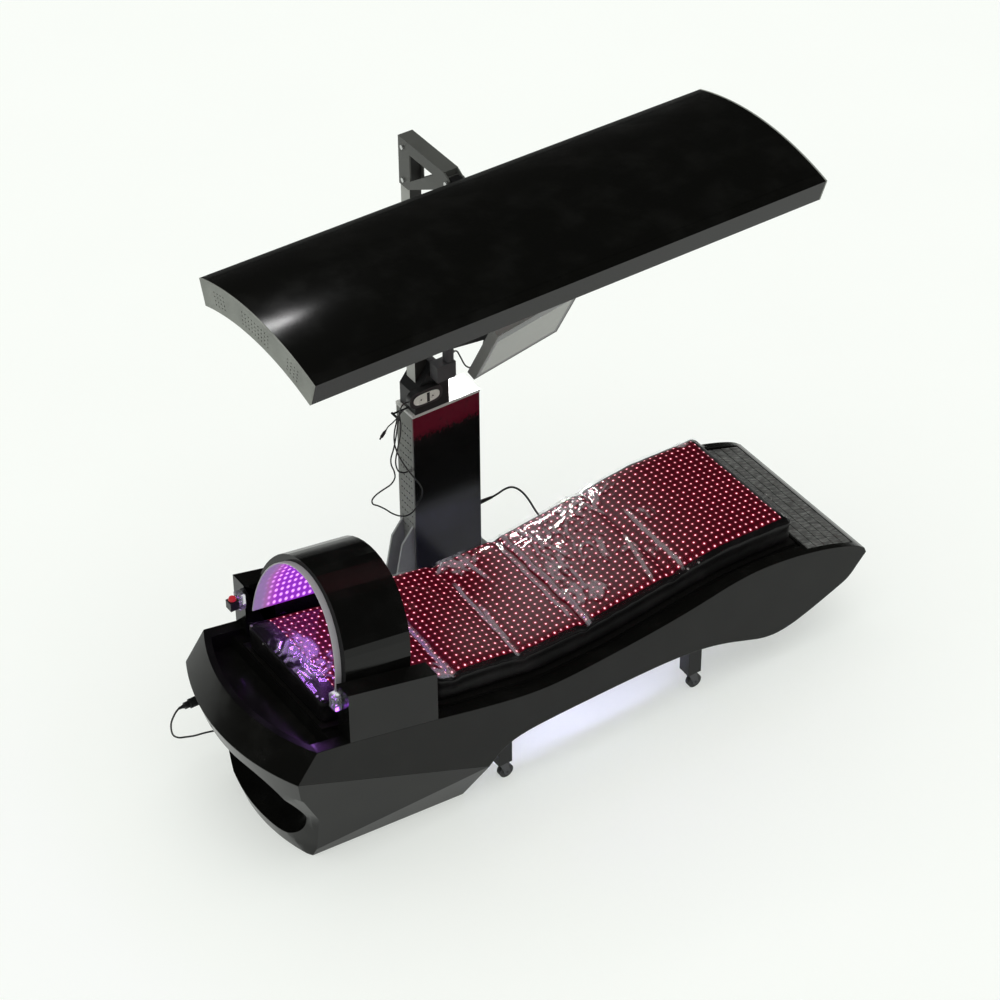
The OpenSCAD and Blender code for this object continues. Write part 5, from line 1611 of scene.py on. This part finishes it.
@dataclass
class ClearCover:
    """The loose clear film: where it creases and how high it stands.

    A crease is given by x and y of its two ends and its height, a ruffled patch by x and y
    of its middle, its radius and the height of its ridges.
    """

    pad: Mattress
    step: tuple[float, float] = (0.0036, 0.0040)
    gap: float = 0.012
    halves: tuple[float, float] = (0.218, 0.262)
    over_mat: float = 0.0040
    rim: float = 0.07
    smoothing: int = 24
    run_out: float = 0.03
    steep: float = 0.0036
    gentle: float = 0.0085
    ridge_height: float = 0.0056
    ruffle_norm: float = 0.005
    ruffle_limit: float = 1.3
    mark_bend: float = 0.0012
    mark_start: float = 0.40
    creases: tuple[tuple[float, float, float, float, float], ...] = (
        (0.042, 0.245, 0.038, -0.262, 0.0075), (0.012, 0.225, -0.003, -0.200, 0.0055),
        (-0.215, 0.120, -0.236, -0.262, 0.0055), (-0.205, -0.02, -0.222, -0.200, 0.0040),
        (0.406, 0.060, 0.403, -0.240, 0.0055), (0.342, -0.020, 0.295, -0.225, 0.0050),
        (-0.462, 0.180, -0.484, -0.262, 0.0080), (0.090, 0.240, 0.155, 0.020, 0.0040),
        (0.300, 0.250, 0.352, 0.120, 0.0045), (0.130, 0.05, 0.110, -0.190, 0.0040),
        (-0.130, 0.250, -0.110, 0.090, 0.0045), (-0.160, 0.262, -0.225, 0.200, 0.0060))
    ruffles: tuple[tuple[float, float, float, float], ...] = (
        (0.165, 0.120, 0.075, 0.0050), (0.141, -0.164, 0.030, 0.0060), (0.067, -0.130, 0.040, 0.0045),
        (0.310, 0.225, 0.070, 0.0050), (0.385, 0.230, 0.050, 0.0045), (-0.140, 0.225, 0.050, 0.0055),
        (0.415, 0.020, 0.045, 0.0050), (0.350, -0.130, 0.060, 0.0035), (-0.850, 0.040, 0.055, 0.0060),
        (-0.870, -0.060, 0.055, 0.0055), (0.250, -0.020, 0.060, 0.0035), (0.760, 0.240, 0.025, 0.0040),
        (-0.500, -0.240, 0.030, 0.0060), (0.079, -0.006, 0.040, 0.0050), (-0.760, -0.10, 0.09, 0.0030))

    def height(self, x: float, y: float) -> float:
        """Height of the film's wrinkles over its lowest lie.

        Args:
            x: The place along the bed.
            y: The place across it.

        Returns:
            The height.
        """
        total = 0.0010 + 0.0012 * noise.noise(Vector((x * 7.0, y * 9.0, 4.0)))
        for x0, y0, x1, y1, tall in self.creases:
            dx, dy = x1 - x0, y1 - y0
            length = math.hypot(dx, dy)
            along = ((x - x0) * dx + (y - y0) * dy) / length
            across = ((x - x0) * dy - (y - y0) * dx) / length
            across += 0.006 * noise.noise(Vector((along * 22, 7.0, length)))
            if -self.run_out < along < length + self.run_out and abs(across) < self.run_out:
                ends = min(1.0, (along + self.run_out) / 0.05, (length + self.run_out - along) / 0.05)
                wide = self.steep if across > 0 else self.gentle
                total += tall * ends * math.exp(-(across / wide) ** 2)
        swirl = noise.noise(Vector((x * 11, y * 11, 9.0)))
        grooves = noise.noise(Vector((x * 34 + swirl * 2.2, y * 14 + swirl * 3.0, 1.0)))
        ridges = max(0.0, 1 - math.hypot(grooves, 0.07) * 2.4)
        local = sum((tall / self.ruffle_norm) ** 2
                    * math.exp(-((x - cx) ** 2 + (y - cy) ** 2) / (1.3 * r * r))
                    for cx, cy, r, tall in self.ruffles)
        return total + ridges ** 1.5 * self.ridge_height * min(local, self.ruffle_limit)

    def lift(self, x: float, y: float, share: float) -> float:
        """Height of the film over the pad: over the mat, and down to the pad at the edge.

        Args:
            x: The place along the bed.
            y: The place across it.
            share: The place's share of the half width.

        Returns:
            The height.
        """
        edge = max(0.0, (share - (1 - self.rim)) / self.rim)
        curl = 0.004 * max(0.0, noise.noise(Vector((x * 30, math.copysign(5.0, y), 0)))) * edge
        return self.over_mat * (1 - edge * 0.75) + self.height(x, y) * (1 - 0.35 * edge) + curl

    def mark_creases(self, made: bpy.types.Object, rows: list[list[Vector]]) -> None:
        """Writes down where the film bends sharply, for its finish.

        Args:
            made: The film.
            rows: Its rows of points.
        """
        heights = np.array([[self.height(p.x, p.y) for p in row] for row in rows])
        bend = np.zeros_like(heights)
        bend[1:-1, 1:-1] = np.abs(4 * heights[1:-1, 1:-1] - heights[:-2, 1:-1] - heights[2:, 1:-1]
                                  - heights[1:-1, :-2] - heights[1:-1, 2:])
        share = np.clip(averaged(bend).ravel() / self.mark_bend - self.mark_start, 0, 1)
        mark = made.data.attributes.new("crease", "FLOAT", "POINT")
        mark.data.foreach_set("value", share.astype(np.float32))

    def build(self) -> bpy.types.Object:
        """Makes the film.

        Returns:
            The film.
        """
        ends = (self.pad.head + self.gap, self.pad.foot - self.gap)
        rows = self.pad.layer(self.step, ends, self.halves, lambda x, y, share: 0.0)
        base = np.array([[p.z for p in row] for row in rows])
        for _ in range(self.smoothing):
            base = averaged(base)
        last = len(rows[0]) - 1
        for row, level in zip(rows, base):
            for k, point in enumerate(row):
                point.z = float(level[k]) + self.lift(point.x, point.y, abs(2 * k / last - 1))
        shape = Shape()
        shape.grid(rows)
        made = shape.piece("film_cover", FILM, Body.BED)
        self.mark_creases(made, rows)
        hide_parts("clear_film")
        return made


@dataclass
class SmallParts:
    """Snaps that hold the film, and the handset's keypad with its marks.

    The snap's profile and the steps of the keypad's face and arrows are pairs: a share of
    their radius or outline, and the height there.
    """

    pad: Mattress
    snaps: tuple[tuple[float, float], ...] = (
        (-0.914, 0.187), (-0.912, 0.120), (-0.914, -0.196), (-0.906, -0.214), (0.826, -0.049),
        (0.831, -0.118), (0.831, -0.147), (0.828, -0.221), (0.407, -0.268), (0.449, -0.268))
    snap_radius: float = 0.0042
    snap_profile: tuple[tuple[float, float], ...] = (
        (0.98, -0.001), (1.0, 0.0006), (0.9, 0.0014), (0.55, 0.0020), (0.5, 0.0014), (0.12, 0.0012))
    snap_sides: int = 18
    face_at: Point = (-0.050, 0.5238, 0.892)
    face_half: tuple[float, float] = (0.0485, 0.0195)
    face_steps: tuple[tuple[float, float], ...] = (
        (1.0, -0.0006), (1.0, 0.0010), (0.985, 0.0016), (0.955, 0.0018))
    face_sides: int = 64
    face_middle: float = 0.0463
    key_places: tuple[float, float] = (-0.022, 0.022)
    key_radius: float = 0.0084
    arrow: tuple[tuple[float, float], ...] = (
        (-0.0042, -0.0026), (0.0042, -0.0026), (0.0006, 0.0036), (-0.0006, 0.0036))
    arrow_steps: tuple[tuple[float, float], ...] = ((1.0, -0.0002), (1.0, 0.0004), (0.8, 0.0006))

    def studs(self) -> None:
        """Makes the bright snap fasteners that hold the film's edge."""
        shape = Shape()
        profile = [(self.snap_radius * share, height) for share, height in self.snap_profile]
        for x, y in self.snaps:
            shape.lathe(profile, Matrix.Translation(self.pad.lie(x, y, 0.0006)), self.snap_sides)
        shape.piece("film_snaps", BRIGHT, Body.BED, crisp=True)

    def keypad(self) -> None:
        """Makes the handset's pale oval keypad round its keys."""
        x0, y0, z0 = self.face_at
        outline = []
        for a in angles(self.face_sides):
            c, s = math.cos(a), math.sin(a)
            outline.append((math.copysign(abs(c) ** 0.62, c) * self.face_half[0],
                            math.copysign(abs(s) ** 0.75, s) * self.face_half[1]))
        rings = [[Vector((x0 + x * k, y0 - out, z0 + z * k)) for x, z in outline]
                 for k, out in self.face_steps]
        out = self.face_steps[-1][1]
        holes = [[Vector((x0 + key + self.key_radius * math.cos(a), y0 - out,
                          z0 + self.key_radius * math.sin(a))) for a in angles(self.face_sides)]
                 for key in self.key_places]
        shape = Shape()
        shape.rings(rings, closed_ends=False)
        for hole in holes:
            self.plate(shape, rings[-1], hole)
        shape.piece("keypad_oval", KEY_WHITE, Body.BED)

    def arrows(self) -> None:
        """Makes the raised arrows on the two keys."""
        for name, body, sign in (("key_arrow_up", Body.KEY_UP, 1), ("key_arrow_down", Body.KEY_DOWN, -1)):
            low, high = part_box(body.value)
            mid_x, mid_z = (low.x + high.x) / 2, (low.z + high.z) / 2
            shape = Shape()
            shape.rings([[Vector((mid_x + x * k, low.y - out, mid_z + z * sign * k)) for x, z in self.arrow]
                         for k, out in self.arrow_steps])
            shape.piece(name, POD, body, crisp=True)

    def plate(self, shape: Shape, rim: list[Vector], hole: list[Vector]) -> None:
        """Closes half of the keypad's face round one of its keys.

        Args:
            shape: The shape that gets the face.
            rim: The face's outer ring.
            hole: The ring round the key.
        """
        side = -1 if hole[0].x < rim[0].x - 0.05 else 1
        middle_x, middle_z = hole[0].x - self.key_radius, hole[0].z
        half = [p for p in rim if (p.x - rim[0].x + self.face_middle) * side >= -1e-6]
        half.sort(key=lambda p: math.atan2(p.z - middle_z, p.x - middle_x))
        ring = sorted(hole, key=lambda p: math.atan2(p.z - middle_z, p.x - middle_x))
        self.bridge(shape, half, ring)

    def bridge(self, shape: Shape, outer: list[Vector], inner: list[Vector]) -> None:
        """Fills the space between two rings that are sorted by angle.

        Args:
            shape: The shape that gets the faces.
            outer: The outer ring.
            inner: The inner ring.
        """
        start = len(shape.points)
        shape.points.extend(outer + inner)
        m, n = len(outer), len(inner)
        i = j = 0
        while i < m or j < n:
            a, b = start + i % m, start + m + j % n
            if i * n <= j * m and i < m:
                shape.faces.append((a, start + (i + 1) % m, b))
                i += 1
            else:
                shape.faces.append((a, start + m + (j + 1) % n, b))
                j += 1

    def build(self) -> None:
        """Makes all of them."""
        self.studs()
        self.keypad()
        self.arrows()


@dataclass
class Fittings:
    """The model's own parts, given their finishes and softened edges of a width each."""

    weld_gap: float = 0.00002
    flat_deg: float = 0.4
    edge_deg: float = 32.0
    edge_steps: int = 2
    softened: tuple[tuple[str, float], ...] = (
        ("upper_hull", 0.0030), ("head_pedestal", 0.0025), ("cheek_near", 0.0030), ("cheek_far", 0.0030),
        ("dome_shell", 0.0020), ("canopy_shell", 0.0012), ("column_front", 0.0008), ("screen_casing", 0.0012),
        ("column_base", 0.0012), ("gallows_arm", 0.0008), ("mast_guide", 0.0015), ("leg_posts", 0.0015))

    def dress(self) -> None:
        """Gives every shown node its finish."""
        for name, finish in NODE_FINISH.items():
            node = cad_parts[name]
            if not node.material_slots:
                node.data.materials.append(None)
            for slot in node.material_slots:
                slot.material = finish.material()

    def soften(self) -> None:
        """Rounds the edges of the large mouldings a little."""
        for name, width in self.softened:
            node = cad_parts[name]
            weld = node.modifiers.new("weld", "WELD")
            weld.merge_threshold = self.weld_gap
            flat = node.modifiers.new("whole_faces", "DECIMATE")
            flat.decimate_type = "DISSOLVE"
            flat.angle_limit = math.radians(self.flat_deg)
            bevel = node.modifiers.new("soft_edge", "BEVEL")
            bevel.width = width
            bevel.segments = self.edge_steps
            bevel.limit_method = "ANGLE"
            bevel.angle_limit = math.radians(self.edge_deg)
            normal = node.modifiers.new("even_normals", "WEIGHTED_NORMAL")
            normal.keep_sharp = True

    def build(self) -> None:
        """Dresses and softens the nodes."""
        self.dress()
        self.soften()
        log.info("%d nodes dressed", len(NODE_FINISH))


def write_sizes() -> None:
    """Updates the view layer."""
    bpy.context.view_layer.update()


def main() -> None:
    """Builds the camera, the cords, the soft goods, the fittings and the studio."""
    logging.basicConfig(level=logging.INFO, format="%(message)s")
    bpy.context.scene.view_settings.view_transform = "Standard"
    studio = Studio()
    studio.camera()
    CordSet().build()
    Fittings().build()
    pad = Mattress()
    pad.pad()
    pad.welt()
    pad.mat()
    ClearCover(pad).build()
    SmallParts(pad).build()
    studio.build()
    write_sizes()


if __name__ == "__main__":
    main()
